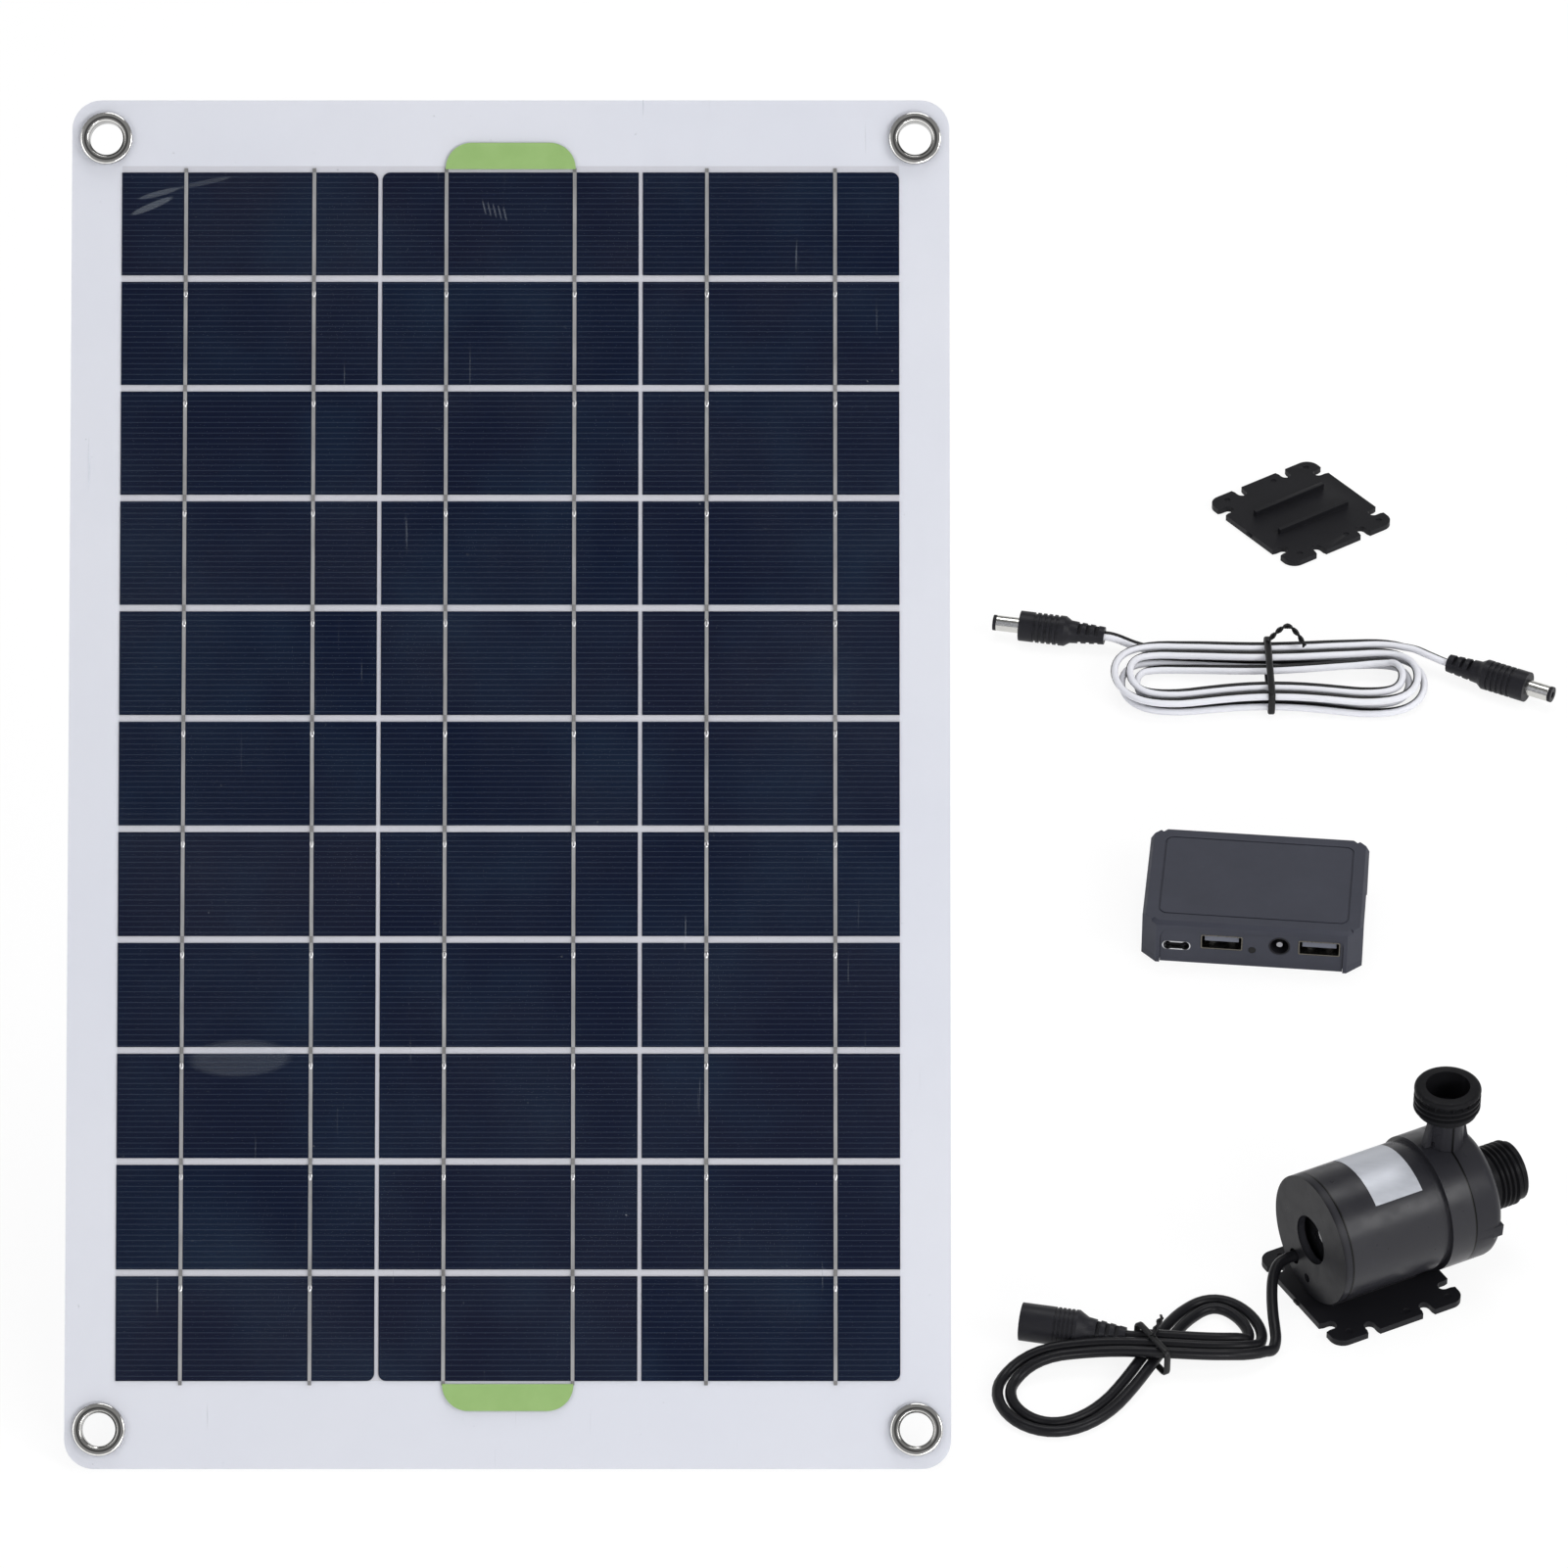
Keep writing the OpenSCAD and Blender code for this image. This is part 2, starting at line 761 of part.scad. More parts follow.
module port_outline(gap = 0) {
    difference() {
        translate([-port_w / 2 + gap, 0]) square([port_w - 2 * gap, port_h - gap]);
        for (side = [0, 1])
            mirror([side, 0]) translate([port_w / 2 - gap, port_h - gap])
                mirror([1, 0]) mirror([0, 1]) corner_waste(port_corner);
    }
}

// Stands a port outline up as a plate whose front is at y = from
module port_plate(from, to, gap = 0) {
    translate([0, to, 0]) rotate([90, 0, 0]) linear_extrude(to - from) port_outline(gap);
}

// Shallow panels let into the left, right and back walls
module bank_side_recesses() {
    high = bank_h - rim_depth;
    long_x = bank_w - 2 * post_l;
    long_y = bank_d - 2 * post_l;
    for (side = [-1, 1])
        translate([side * bank_w / 2 - bank_recess, -long_y / 2, -over])
            cube([2 * bank_recess, long_y, high + over]);
    translate([-long_x / 2, bank_d / 2 - bank_recess, -over]) cube([long_x, 2 * bank_recess, high + over]);
}

// Wedge that bevels the top edge of one side of the plan
module rim_bevel(distance, length) {
    translate([distance, 0, bank_h]) rotate([0, 45, 0])
        cube([rim_cut * sqrt(2), length + 2 * over, rim_cut * sqrt(2)], center = true);
}

module bank_rim_bevels() {
    corner = (bank_w / 2 + bank_d / 2 - bank_chamfer) / sqrt(2);
    for (turn = [0, 180])
        rotate([0, 0, turn]) rim_bevel(bank_w / 2, bank_d);
    for (turn = [90, 270])
        rotate([0, 0, turn]) rim_bevel(bank_d / 2, bank_w);
    for (turn = [45, 135, 225, 315])
        rotate([0, 0, turn]) rim_bevel(corner, bank_chamfer * 2);
}

module bank_base() {
    color(slate) in_bank() {
        difference() {
            linear_extrude(bank_base_t) bank_outline();
            bank_side_recesses();
            port_plate(-bank_d / 2 - over, port_front + port_t);
        }
        for (x = [-1, 1], y = [2, pcb_back - 3])
            translate([x * (pcb_w / 2 - 3), port_front + port_t + y, bank_base_t])
                cylinder(r = 2, h = post_h);
    }
}

// Room in the cover for the sockets, where a narrow box brings its corners near them
module port_rooms() {
    for (x = socket_xs)
        socket_room(x, port_z, socket_w, socket_h, socket_depth);
    socket_room(oval_x, oval_z, oval_w, oval_h, oval_depth);
}

module socket_room(x, z, w, h, depth) {
    at_port(x, z) linear_extrude(depth + port_room)
        square([w + 2 * port_room, h + 2 * port_room], center = true);
}

module bank_cover() {
    w = bank_w - 2 * groove_in;
    d = bank_d - 2 * groove_in;
    color(slate) in_bank() difference() {
        translate([0, 0, bank_base_t]) linear_extrude(bank_h - bank_base_t) bank_outline();
        translate([0, 0, bank_base_t - over]) linear_extrude(bank_h - bank_base_t - top_wall + over)
            bank_outline(bank_wall);
        bank_side_recesses();
        bank_rim_bevels();
        port_plate(-bank_d / 2 - over, -bank_d / 2 + bank_wall + over);
        port_rooms();
        translate([0, 0, bank_h - groove_deep]) linear_extrude(groove_deep + over) difference() {
            rounded_rect(w, d, 3);
            rounded_rect(w - 2 * groove_w, d - 2 * groove_w, 3 - groove_w);
        }
    }
}

// Moves a shape made on +z to a port, with +z pointing into the box
module at_port(x, z) {
    translate([x, port_front, z]) lay_y() children();
}

module socket_outline(w, h, r) {
    rounded_rect(w, h, r);
}

module port_panel() {
    color(slate) in_bank() difference() {
        port_plate(port_front, port_front + port_t, fit);
        for (x = socket_xs)
            at_port(x, port_z) translate([0, 0, -over]) linear_extrude(port_t + 2 * over)
                socket_outline(socket_w + 2 * fit, socket_h + 2 * fit, 0.6 + fit);
        at_port(oval_x, oval_z) translate([0, 0, -over]) linear_extrude(port_t + 2 * over)
            socket_outline(oval_w + 2 * fit, oval_h + 2 * fit, oval_h / 2 + fit - 0.01);
        at_port(lamp_x, oval_z) rod(lamp_d / 2 + fit, -over, port_t + over);
        at_port(jack_x, port_z) rod(jack_d / 2 + fit, -over, port_t + over);
    }
}

// Folded metal sleeve, open at the front, on two feet that reach the circuit board
module socket_shell(x, z, w, h, r, depth) {
    at_port(x, z) difference() {
        linear_extrude(depth) socket_outline(w, h, r);
        translate([0, 0, -over]) linear_extrude(depth - socket_wall + over)
            socket_outline(w - 2 * socket_wall, h - 2 * socket_wall, r - socket_wall / 2);
    }
    for (side = [-1, 1])
        translate([x + side * (w / 2 - h / 2) - 0.5, port_front + depth - 3, pcb_top])
            cube([1, 2, z - h / 2 + socket_wall / 2 - pcb_top]);
}

module left_socket() {
    color(tin) in_bank() socket_shell(socket_xs[0], port_z, socket_w, socket_h, 0.6, socket_depth);
}

module right_socket() {
    color(tin) in_bank() socket_shell(socket_xs[1], port_z, socket_w, socket_h, 0.6, socket_depth);
}

module oval_socket() {
    color(tin) in_bank() socket_shell(oval_x, oval_z, oval_w, oval_h, oval_h / 2 - 0.01, oval_depth);
}

// Tongue that stands on the back wall of its socket
module tongue(x, z, w, t, depth, up) {
    translate([x - w / 2, port_front + 0.8, z + up - t / 2]) cube([w, depth - socket_wall - 0.8, t]);
}

module socket_tongues() {
    color(white_cord) in_bank() for (x = socket_xs)
        tongue(x, port_z, socket_w - 2.6, 1.8, socket_depth, 0.9);
}

module oval_tongue() {
    color(black_plastic) in_bank() tongue(oval_x, oval_z, oval_w - 2.8, 0.7, oval_depth, 0);
}

// Round jack in a square body that stands on the circuit board
module bank_jack() {
    side = jack_d + 2 * jack_wall;
    color(black_plastic) in_bank() difference() {
        union() {
            at_port(jack_x, port_z) rod(jack_d / 2, 0, port_t + fit);
            at_port(jack_x, port_z) translate([-side / 2, -side / 2, port_t + fit])
                cube([side, side, jack_depth - port_t - fit]);
        }
        at_port(jack_x, port_z) rod(dc_bore / 2 + 0.2, -over, jack_depth - 2);
        at_port(jack_x, port_z) rod(dc_pin / 2, 0, jack_depth - 0.5);
    }
}

module bank_jack_pin() {
    color(nickel) in_bank() at_port(jack_x, port_z) rod(dc_pin / 2, 1, jack_depth - 0.5);
}

module indicator_lens() {
    color(white_cord) in_bank() {
        at_port(lamp_x, oval_z) rod(lamp_d / 2, 0, port_t + 2.4);
        translate([lamp_x - 0.8, port_front + port_t + 0.6, pcb_top]) cube([1.6, 1.6, oval_z - pcb_top]);
    }
}

module charge_board() {
    color(board_green) in_bank()
        translate([-pcb_w / 2, port_front + port_t + fit, bank_base_t + post_h])
            cube([pcb_w, pcb_back, pcb_t]);
}

module battery_pouch() {
    front = port_front + port_t + pcb_back + pouch_gap;
    back = bank_d / 2 - bank_wall - pouch_gap;
    wide = bank_w - 2 * (bank_wall + pouch_gap);
    high = bank_h - bank_base_t - top_wall - pouch_gap;
    color([0.55, 0.58, 0.62]) in_bank()
        translate([0, back, bank_base_t + high / 2]) rotate([90, 0, 0])
            linear_extrude(back - front) rounded_rect(wide, high, 2.5);
}

// Lead

// Places a plug's own frame, tip along +z, with the cord's end of the relief at the given point
module at_plug(at, yaw) {
    translate(at) rotate([0, 0, yaw]) lay_x() children();
}

// Slotted relief that widens towards its moulding
module relief(r_from, r_to) {
    slot = relief_l / 9;
    difference() {
        cylinder(r1 = r_from, r2 = r_to, h = relief_l);
        for (k = [0:2], side = [-1, 1])
            translate([side * r_to, 0, (2.1 + 2.2 * k) * slot])
                cube([2 * r_to - r_from, 4 * r_to, slot], center = true);
    }
}

module plug_moulding() {
    groove = plug_l / 18;
    difference() {
        union() {
            relief(relief_r, relief_wide);
            translate([0, 0, relief_l]) cylinder(r1 = relief_wide, r2 = plug_d / 2, h = plug_l / 9);
            rod(plug_d / 2, relief_l + plug_l / 9, relief_l + plug_l);
        }
        for (k = [0:grip_ribs - 1])
            translate([0, 0, relief_l + plug_l * 0.22 + k * 2 * groove])
                ring(plug_d / 2 + over, plug_d / 2 - 0.5, 0, groove);
        rod(barrel_seat, relief_l + plug_l - seat_l, relief_l + plug_l + over);
    }
}

module plug_barrel() {
    face = relief_l + plug_l;
    ring(barrel_d / 2, barrel_bore / 2 + 0.3, face, face + barrel_l - tip_l);
    ring(barrel_seat, barrel_bore / 2 + 0.3, face - seat_l, face + fit);
}

module plug_tip() {
    ring(barrel_d / 2, barrel_bore / 2, relief_l + plug_l + barrel_l - tip_l, relief_l + plug_l + barrel_l);
}

module left_plug_moulding() {
    color(black_plastic) at_plug(left_plug_at, left_plug_yaw) plug_moulding();
}

module left_plug_barrel() {
    color(nickel) at_plug(left_plug_at, left_plug_yaw) plug_barrel();
}

module left_plug_tip() {
    color(black_plastic) at_plug(left_plug_at, left_plug_yaw) plug_tip();
}

module right_plug_moulding() {
    color(black_plastic) at_plug(right_plug_at, right_plug_yaw) plug_moulding();
}

module right_plug_barrel() {
    color(nickel) at_plug(right_plug_at, right_plug_yaw) plug_barrel();
}

module right_plug_tip() {
    color(black_plastic) at_plug(right_plug_at, right_plug_yaw) plug_tip();
}

module lead_run_left() {
    color(white_cord) tube_along(lead_path, twin_section, 0, lead_first);
}

module lead_hank() {
    color(white_cord) tube_along(lead_path, twin_section, lead_first, lead_last);
}

module lead_run_right() {
    color(white_cord) tube_along(lead_path, twin_section, lead_last, len(lead_path) - 1);
}

// Band round a bundle, from low to high across it and up to a height, with twisted ends on top
module tie_band(low, high, top, tail) {
    wide = high - low;
    rotate([90, 0, 90]) translate([(low + high) / 2, (top + tie_t) / 2, -tie_w / 2])
        linear_extrude(tie_w) difference() {
            rounded_rect(wide + 2 * tie_t, top + tie_t, tie_bend + tie_t);
            rounded_rect(wide, top - tie_t, tie_bend);
        }
    translate([0, (low + high) / 2, top + tie_t]) rotate([0, 82, 40]) cylinder(r = tie_t, h = tail);
}

module lead_tie() {
    waist = lead_half_w * (1 - lead_waist);
    edge = lead_w / 2 + tie_clear;
    color(black_plastic) translate([lead_at[0], lead_at[1], 0])
        tie_band(-waist + lead_step / 2 - edge, waist + edge, tie_t + lead_h + lead_layer + tie_clear, 14);
}

// Base plates

// Slot with a round end at the origin's side and a mouth that flares towards +x
module notch() {
    square([notch_depth, notch_w / 2]);
    mirror([0, 1]) square([notch_depth, notch_w / 2]);
    circle(notch_w / 2);
    mouth = notch_depth - notch_w / 2;
    polygon([
        [mouth - 2 * notch_flare, -notch_w / 2], [mouth + over, -notch_w / 2 - notch_flare],
        [mouth + over, notch_w / 2 + notch_flare], [mouth - 2 * notch_flare, notch_w / 2]
    ]);
}

module plate_outline() {
    difference() {
        rounded_rect(plate_l, plate_w, plate_corner);
        for (turn = [0, 180], y = [-end_notch, end_notch])
            rotate(turn) translate([plate_l / 2 - notch_depth + notch_w / 2, y]) notch();
        for (turn = [90, 270], x = [-side_notch, side_notch])
            rotate(turn) translate([plate_w / 2 - notch_depth + notch_w / 2, x]) notch();
    }
}

// Flat plate with slotted edges, and two ribs along x that cradle the housing
module base_plate() {
    difference() {
        linear_extrude(plate_t) plate_outline();
        for (x = dimple_xs, side = [-1, 1])
            translate([x, side * dimple_y, plate_t - dimple_deep]) cylinder(r = dimple_r, h = over);
    }
    for (side = [-1, 1])
        translate([-rib_l / 2, side * rib_gap / 2 - rib_w / 2, plate_t - seat_clear])
            cube([rib_l, rib_w, rib_h + seat_clear]);
    translate([-plate_l / 2 - nub[0], -nub[1] / 2, (plate_t - nub[2]) / 2])
        cube([nub[0] + seat_clear, nub[1], nub[2]]);
}

module pump_base() {
    color(black_plastic) rotate([0, 0, pump_yaw]) base_plate();
}

module spare_base() {
    color(black_plastic) translate(spare_at) rotate([0, 0, spare_yaw]) base_plate();
}

// Pump

module rear_cap() {
    color(dark_grey) in_pump() difference() {
        lay_x() difference() {
            union() {
                rod(body_r, 0, cap_t);
                ring(cavity_r - fit, cavity_r - fit - spigot_wall, cap_t - fit, cap_t + spigot_l);
            }
            rod(cap_hole_r, -over, cap_t + over);
        }
        translate([0, cord_hole[0], cord_hole[1]]) lay_x() rod(gland_r + fit, -over, cap_t + spigot_l + over);
        translate([0, slot_hole[0], slot_hole[1]]) lay_x() rod(slot_w / 2, -over, cap_t + over);
    }
}

// Motor housing: plain barrel, groove, and the flange cup that forms the back of the pump chamber
module motor_housing() {
    wall_x = groove_x - 1;
    color(dark_grey) in_pump() {
        lay_x() difference() {
            union() {
                rod(body_r, cap_t, groove_x);
                rod(groove_r, groove_x - fit, flange_x + fit);
                rod(flange_r, flange_x, seam_x);
                translate([body_r - body_wall, -foot_half, cap_t])
                    cube([axis_h - plate_t - seat_clear - body_r + body_wall, 2 * foot_half, housing_l]);
            }
            rod(cavity_r, cap_t - over, wall_x);
            rod(can_r + fit / 2, wall_x - over, seam_x + over);
            rod(can_flange_r + fit / 2, chamber_x - can_flange_t, seam_x + over);
            rod(chamber_r, chamber_x, seam_x + over);
            ring(
                ring_r + ring_section + fit, ring_r - ring_section - fit,
                seam_x - ring_groove, seam_x + over
            );
        }
        translate([seam_x - 0.6 - lug[0], -lug[1] / 2, flange_r - 0.4]) cube([lug[0], lug[1], lug[2]]);
    }
}

module potting() {
    color([0.06, 0.06, 0.07]) in_pump() difference() {
        lay_x() ring(cavity_r - fit, boss_r + fit, cap_t + spigot_l + fit, pcb_x - fit);
        translate([0, cord_hole[0], cord_hole[1]]) lay_x() rod(gland_r + fit, 0, cap_t + spigot_l + over);
    }
}

module drive_board() {
    color(board_green) in_pump() lay_x() ring(pcb_r, boss_r + fit, pcb_x, pcb_x + pcb_t);
}

module board_components() {
    face = pcb_x + pcb_t;
    color(black_plastic) in_pump() {
        translate([face, -3, -15]) cube([1.6, 6, 5]);
        translate([face, -3, 10.5]) cube([1.4, 6, 3.5]);
        // Upright parts stand outside the can: direction, radius and height
        for (upright = [[29, 2.5, 4.2], [151, 2, 3.6]]) {
            out = can_r + can_clear + upright[1];
            translate([face, out * cos(upright[0]), out * sin(upright[0])])
                lay_x() cylinder(r = upright[1], h = upright[2]);
        }
    }
}

// Dry can that keeps the water off the windings, with the shaft's seat in its floor
module rotor_can() {
    color([0.42, 0.42, 0.43]) in_pump() lay_x() difference() {
        union() {
            rod(can_r, can_x, chamber_x);
            rod(can_flange_r, chamber_x - can_flange_t + fit / 2, chamber_x);
            rod(boss_r, boss_x, can_x + fit);
        }
        rod(can_r - can_wall, can_x + can_floor, chamber_x + over);
        rod(shaft_r + 0.02, shaft_x, can_x + can_floor + over);
    }
}

module stator_core() {
    tip = stator_bore + shoe_t;
    color([0.5, 0.5, 0.52]) in_pump() lay_x() translate([0, 0, stator_x]) linear_extrude(stator_l) {
        difference() {
            circle(stator_r);
            circle(stator_r - yoke_t);
        }
        difference() {
            union() {
                for (k = [0:stator_teeth - 1]) rotate(k * 360 / stator_teeth) {
                    translate([0, -tooth_w / 2]) square([stator_r - yoke_t / 2, tooth_w]);
                    translate([0, -tooth_w]) square([tip, 2 * tooth_w]);
                }
            }
            circle(stator_bore);
        }
    }
}

module stator_coils() {
    low = stator_bore + shoe_t + 0.3;
    high = stator_r - yoke_t - 0.5;
    color(copper) in_pump() lay_x() for (k = [0:stator_teeth - 1]) rotate([0, 0, k * 360 / stator_teeth])
        difference() {
            translate([low, -tooth_w / 2 - coil_t, stator_x - coil_t])
                cube([high - low, tooth_w + 2 * coil_t, stator_l + 2 * coil_t]);
            translate([low - over, -tooth_w / 2 - fit / 2, stator_x - fit / 2])
                cube([high - low + 2 * over, tooth_w + fit, stator_l + fit]);
        }
}

module shaft() {
    color(ceramic) in_pump() lay_x() rod(shaft_r, shaft_x, spider_x + spider_t - 0.4);
}

module thrust_washers() {
    color(ceramic) in_pump() lay_x() {
        ring(washer_r, shaft_r + 0.02, can_x + can_floor, can_x + can_floor + thrust_t);
        ring(washer_r, shaft_r + 0.02, spider_x - thrust_t, spider_x);
    }
}

module rotor_magnet() {
    color([0.22, 0.22, 0.24]) in_pump() lay_x()
        ring(magnet_d / 2, sleeve_r + fit / 2, magnet_x, magnet_x + magnet_l);
}

module rotor_bushes() {
    color([0.35, 0.33, 0.3]) in_pump() lay_x() {
        ring(bush_r, shaft_r + run_clear, rotor_x, rotor_x + bush_l);
        ring(bush_r, shaft_r + run_clear, rotor_end - bush_l, rotor_end);
    }
}

// Curved blade: a crescent between two arcs, kept between the eye and the rim
module blade() {
    bend = impeller_d * 0.34;
    intersection() {
        difference() {
            translate([0, bend]) circle(bend + vane_t / 2);
            translate([0, bend]) circle(bend - vane_t / 2);
        }
        difference() {
            translate([0, -impeller_d]) square([impeller_d, 2 * impeller_d]);
            circle(sleeve_r - 0.2);
        }
        circle(impeller_d / 2 - vane_inset);
    }
}

module impeller() {
    color([0.3, 0.31, 0.33]) in_pump() lay_x() {
        difference() {
            union() {
                rod(sleeve_r, rotor_x, rotor_end);
                rod(sleeve_r + 1, magnet_x + magnet_l + fit, disc_x + disc_t);
                rod(impeller_d / 2, disc_x, disc_x + disc_t);
            }
            rod(bush_r + fit / 4, rotor_x - over, rotor_end + over);
        }
        translate([0, 0, disc_x + disc_t - fit]) linear_extrude(vane_end - disc_x - disc_t + fit)
            for (k = [0:blades - 1]) rotate(k * 360 / blades) blade();
    }
}

// Profile of the head: rim, dome and inlet pipe as a solid of revolution
module head_profile() {
    arc = [for (a = [0:15:90]) [hub_r + (flange_r - hub_r) * cos(a), rim_x + dome_l * sin(a)]];
    polygon(concat(
        [[pipe_r, inlet_x], [pipe_r, eye_end], [eye_r, eye_end], [eye_r, chamber_front]],
        [[chamber_r, chamber_front], [chamber_r, seam_x], [flange_r, seam_x]],
        arc,
        [[hub_r - 1, hub_x + 1], [thread_r - 0.8, hub_x + 1.4], [thread_r - 0.8, thread_x - 0.8]],
        [[thread_r, thread_x], [thread_r, inlet_x - 0.6], [thread_r - 0.6, inlet_x]]
    ));
}

module outlet_solid() {
    collar = outlet_h - collar_h;
    translate([outlet_x, 0, 0]) {
        rod(neck_d / 2, flange_r - 3, collar + collar_chamfer);
        translate([0, 0, collar]) cylinder(r1 = neck_d / 2, r2 = thread_r, h = collar_chamfer);
        rod(thread_r, collar + collar_chamfer, outlet_h);
        translate([0, web_t / 2, 0]) rotate([90, 0, 0]) linear_extrude(web_t)
            polygon([
                [-web_l, flange_r + 0.4], [web_l, flange_r - 1.5],
                [neck_d / 2, collar], [-neck_d / 2, collar]
            ]);
    }
}

module pump_head() {
    color(dark_grey) in_pump() difference() {
        union() {
            lay_x() {
                rotate_extrude() head_profile();
                for (turn = head_lugs) rotate([0, 0, turn])
                    translate([flange_r - head_lug[0], -head_lug[1] / 2, rim_x - head_lug_set])
                        cube(head_lug);
            }
            difference() {
                outlet_solid();
                lay_x() rod(flange_r + 0.3, flange_x, seam_x);
                lay_x() rod(flange_r - 1, seam_x - over, rim_x + dome_l + 2);
                translate([seam_x - over - lug[0], -lug[1] / 2 - 0.4, 0])
                    cube([lug[0] + over, lug[1] + 0.8, flange_r + lug[2]]);
            }
        }
        translate([outlet_x, 0, 0]) rod(pipe_r, outlet_h - collar_h + collar_chamfer / 2, outlet_h + over);
        translate([outlet_x, 0, 0]) rod(neck_bore / 2, flange_r + neck_floor, outlet_h);
        intersection() {
            translate([outlet_x, 0, 0]) rod(neck_bore / 2, chamber_r - 2, flange_r + neck_floor + over);
            translate([outlet_slot[0], -chamber_r, 0])
                cube([outlet_slot[1] - outlet_slot[0], 2 * chamber_r, 2 * flange_r]);
        }
    }
    color(dark_grey) in_pump() lay_x() {
        ring(spider_hub, shaft_r + 0.02, spider_x, spider_x + spider_t);
        for (turn = [60, 180, 300]) rotate([0, 0, turn])
            translate([spider_hub - 0.3, -spider_arm / 2, spider_x])
                cube([eye_r - spider_hub + 0.8, spider_arm, spider_t]);
    }
}

module o_ring() {
    color([0.05, 0.05, 0.05]) in_pump() lay_x() translate([0, 0, seam_x - ring_section - fit / 2])
        rotate_extrude() translate([ring_r, 0]) circle(ring_section);
}

module cord_gland() {
    color(black_plastic) in_pump() translate([0, cord_hole[0], cord_hole[1]]) lay_x()
        rod(gland_r, gland_in, cap_t + spigot_l);
}

// Pump cord

module pump_cord_run() {
    color(black_plastic) tube_along(cord_path, round_section, 0, cord_first);
}

module pump_cord_hank() {
    color(black_plastic) tube_along(cord_path, round_section, cord_first, cord_last);
}

module cord_tie() {
    slant = unit(cord_slope(90));
    across = (cord_step + cord_r + tie_w / 2 * abs(slant[1])) / abs(slant[0]) + tie_clear;
    color(black_plastic) translate([cord_at[0], cord_at[1], 0]) rotate([0, 0, cord_turn])
        tie_band(-across, across, tie_t + cord_d + cord_step + tie_clear, 9);
}

module at_socket() {
    translate(socket_at) rotate([0, 0, socket_yaw]) lay_x() children();
}

socket_mouth = relief_l + socket_l;
socket_inner = dc_bore / 2 + socket_sleeve_wall;

module socket_moulding() {
    color(black_plastic) at_socket() difference() {
        union() {
            relief(cord_r + 0.8, socket_d / 2 - 1.8);
            translate([0, 0, relief_l]) cylinder(r1 = socket_d / 2 - 1.8, r2 = socket_d / 2, h = 3);
            rod(socket_d / 2, relief_l + 3, socket_mouth);
        }
        for (k = [0:grip_ribs - 1])
            translate([0, 0, relief_l + 4 + k * 1.4]) ring(socket_d / 2 + over, socket_d / 2 - 0.35, 0, 0.7);
        rod(socket_inner, socket_mouth - dc_depth, socket_mouth + over);
    }
}

module socket_sleeve() {
    color(nickel) at_socket() ring(socket_inner, dc_bore / 2, socket_mouth - dc_depth, socket_mouth - 0.6);
}

module socket_pin() {
    color(nickel) at_socket() rod(dc_pin / 2, socket_mouth - dc_depth, socket_mouth - 1.5);
}

panel_board();
solar_cells();
cell_ribbons();
front_film();
eyelets();
eyelet_washers();
junction_box();
junction_lid();
junction_socket();
junction_pin();
bank_base();
bank_cover();
port_panel();
battery_pouch();
charge_board();
left_socket();
right_socket();
socket_tongues();
oval_socket();
oval_tongue();
bank_jack();
bank_jack_pin();
indicator_lens();
left_plug_moulding();
left_plug_barrel();
left_plug_tip();
right_plug_moulding();
right_plug_barrel();
right_plug_tip();
lead_run_left();
lead_hank();
lead_run_right();
lead_tie();
spare_base();
pump_base();
motor_housing();
rear_cap();
potting();
drive_board();
board_components();
rotor_can();
stator_core();
stator_coils();
shaft();
thrust_washers();
rotor_magnet();
impeller();
rotor_bushes();
pump_head();
o_ring();
cord_gland();
pump_cord_run();
pump_cord_hank();
cord_tie();
socket_moulding();
socket_sleeve();
socket_pin();
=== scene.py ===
# %% [markdown]
# # A solar fountain pump kit
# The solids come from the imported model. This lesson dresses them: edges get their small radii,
# pipe ends get their threads, and each finish gets a material that is made of nodes.

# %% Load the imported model
import math

import bmesh
import bpy
from mathutils import Matrix, Vector


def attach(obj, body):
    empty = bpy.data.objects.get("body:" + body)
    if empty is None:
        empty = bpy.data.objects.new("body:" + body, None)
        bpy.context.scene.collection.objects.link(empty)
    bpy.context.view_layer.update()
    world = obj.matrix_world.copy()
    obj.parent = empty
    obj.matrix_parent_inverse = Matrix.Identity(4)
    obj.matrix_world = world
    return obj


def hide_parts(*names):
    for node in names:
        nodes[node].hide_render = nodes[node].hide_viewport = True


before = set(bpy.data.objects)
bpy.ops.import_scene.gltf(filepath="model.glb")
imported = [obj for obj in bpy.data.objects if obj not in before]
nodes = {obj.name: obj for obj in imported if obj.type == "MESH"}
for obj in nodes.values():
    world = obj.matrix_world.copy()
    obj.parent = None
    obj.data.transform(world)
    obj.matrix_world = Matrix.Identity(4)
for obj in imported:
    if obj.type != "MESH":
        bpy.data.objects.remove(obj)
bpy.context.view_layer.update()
scene = bpy.context.scene
scene.view_settings.view_transform = "Standard"
MM = 0.001

# %% [markdown]
# ## Camera
# A product picture is shot with a long lens from far away, so that upright edges stay nearly
# parallel. The camera here looks down at 36 degrees, and the panel leans to face it almost squarely.

# %% Place the camera
VIEW_TARGET = Vector((-180.9, 265.8, 0)) * MM
VIEW_FROM = Vector((-180.9, -1897.5, 1571.7)) * MM


def aimed(name, data, at, target):
    """A camera or a lamp at one point, which looks along its own -Z at another."""
    holder = bpy.data.objects.new(name, data)
    holder.location = at
    holder.rotation_mode = "QUATERNION"
    holder.rotation_quaternion = (Vector(target) - Vector(at)).to_track_quat("-Z", "Y")
    scene.collection.objects.link(holder)
    return holder


long_lens = bpy.data.cameras.new("camera")
long_lens.lens = 180
long_lens.sensor_width = 36
long_lens.clip_end = 20
scene.camera = aimed("camera", long_lens, VIEW_FROM, VIEW_TARGET)
print("camera stands off by", round((VIEW_TARGET - VIEW_FROM).length, 3))

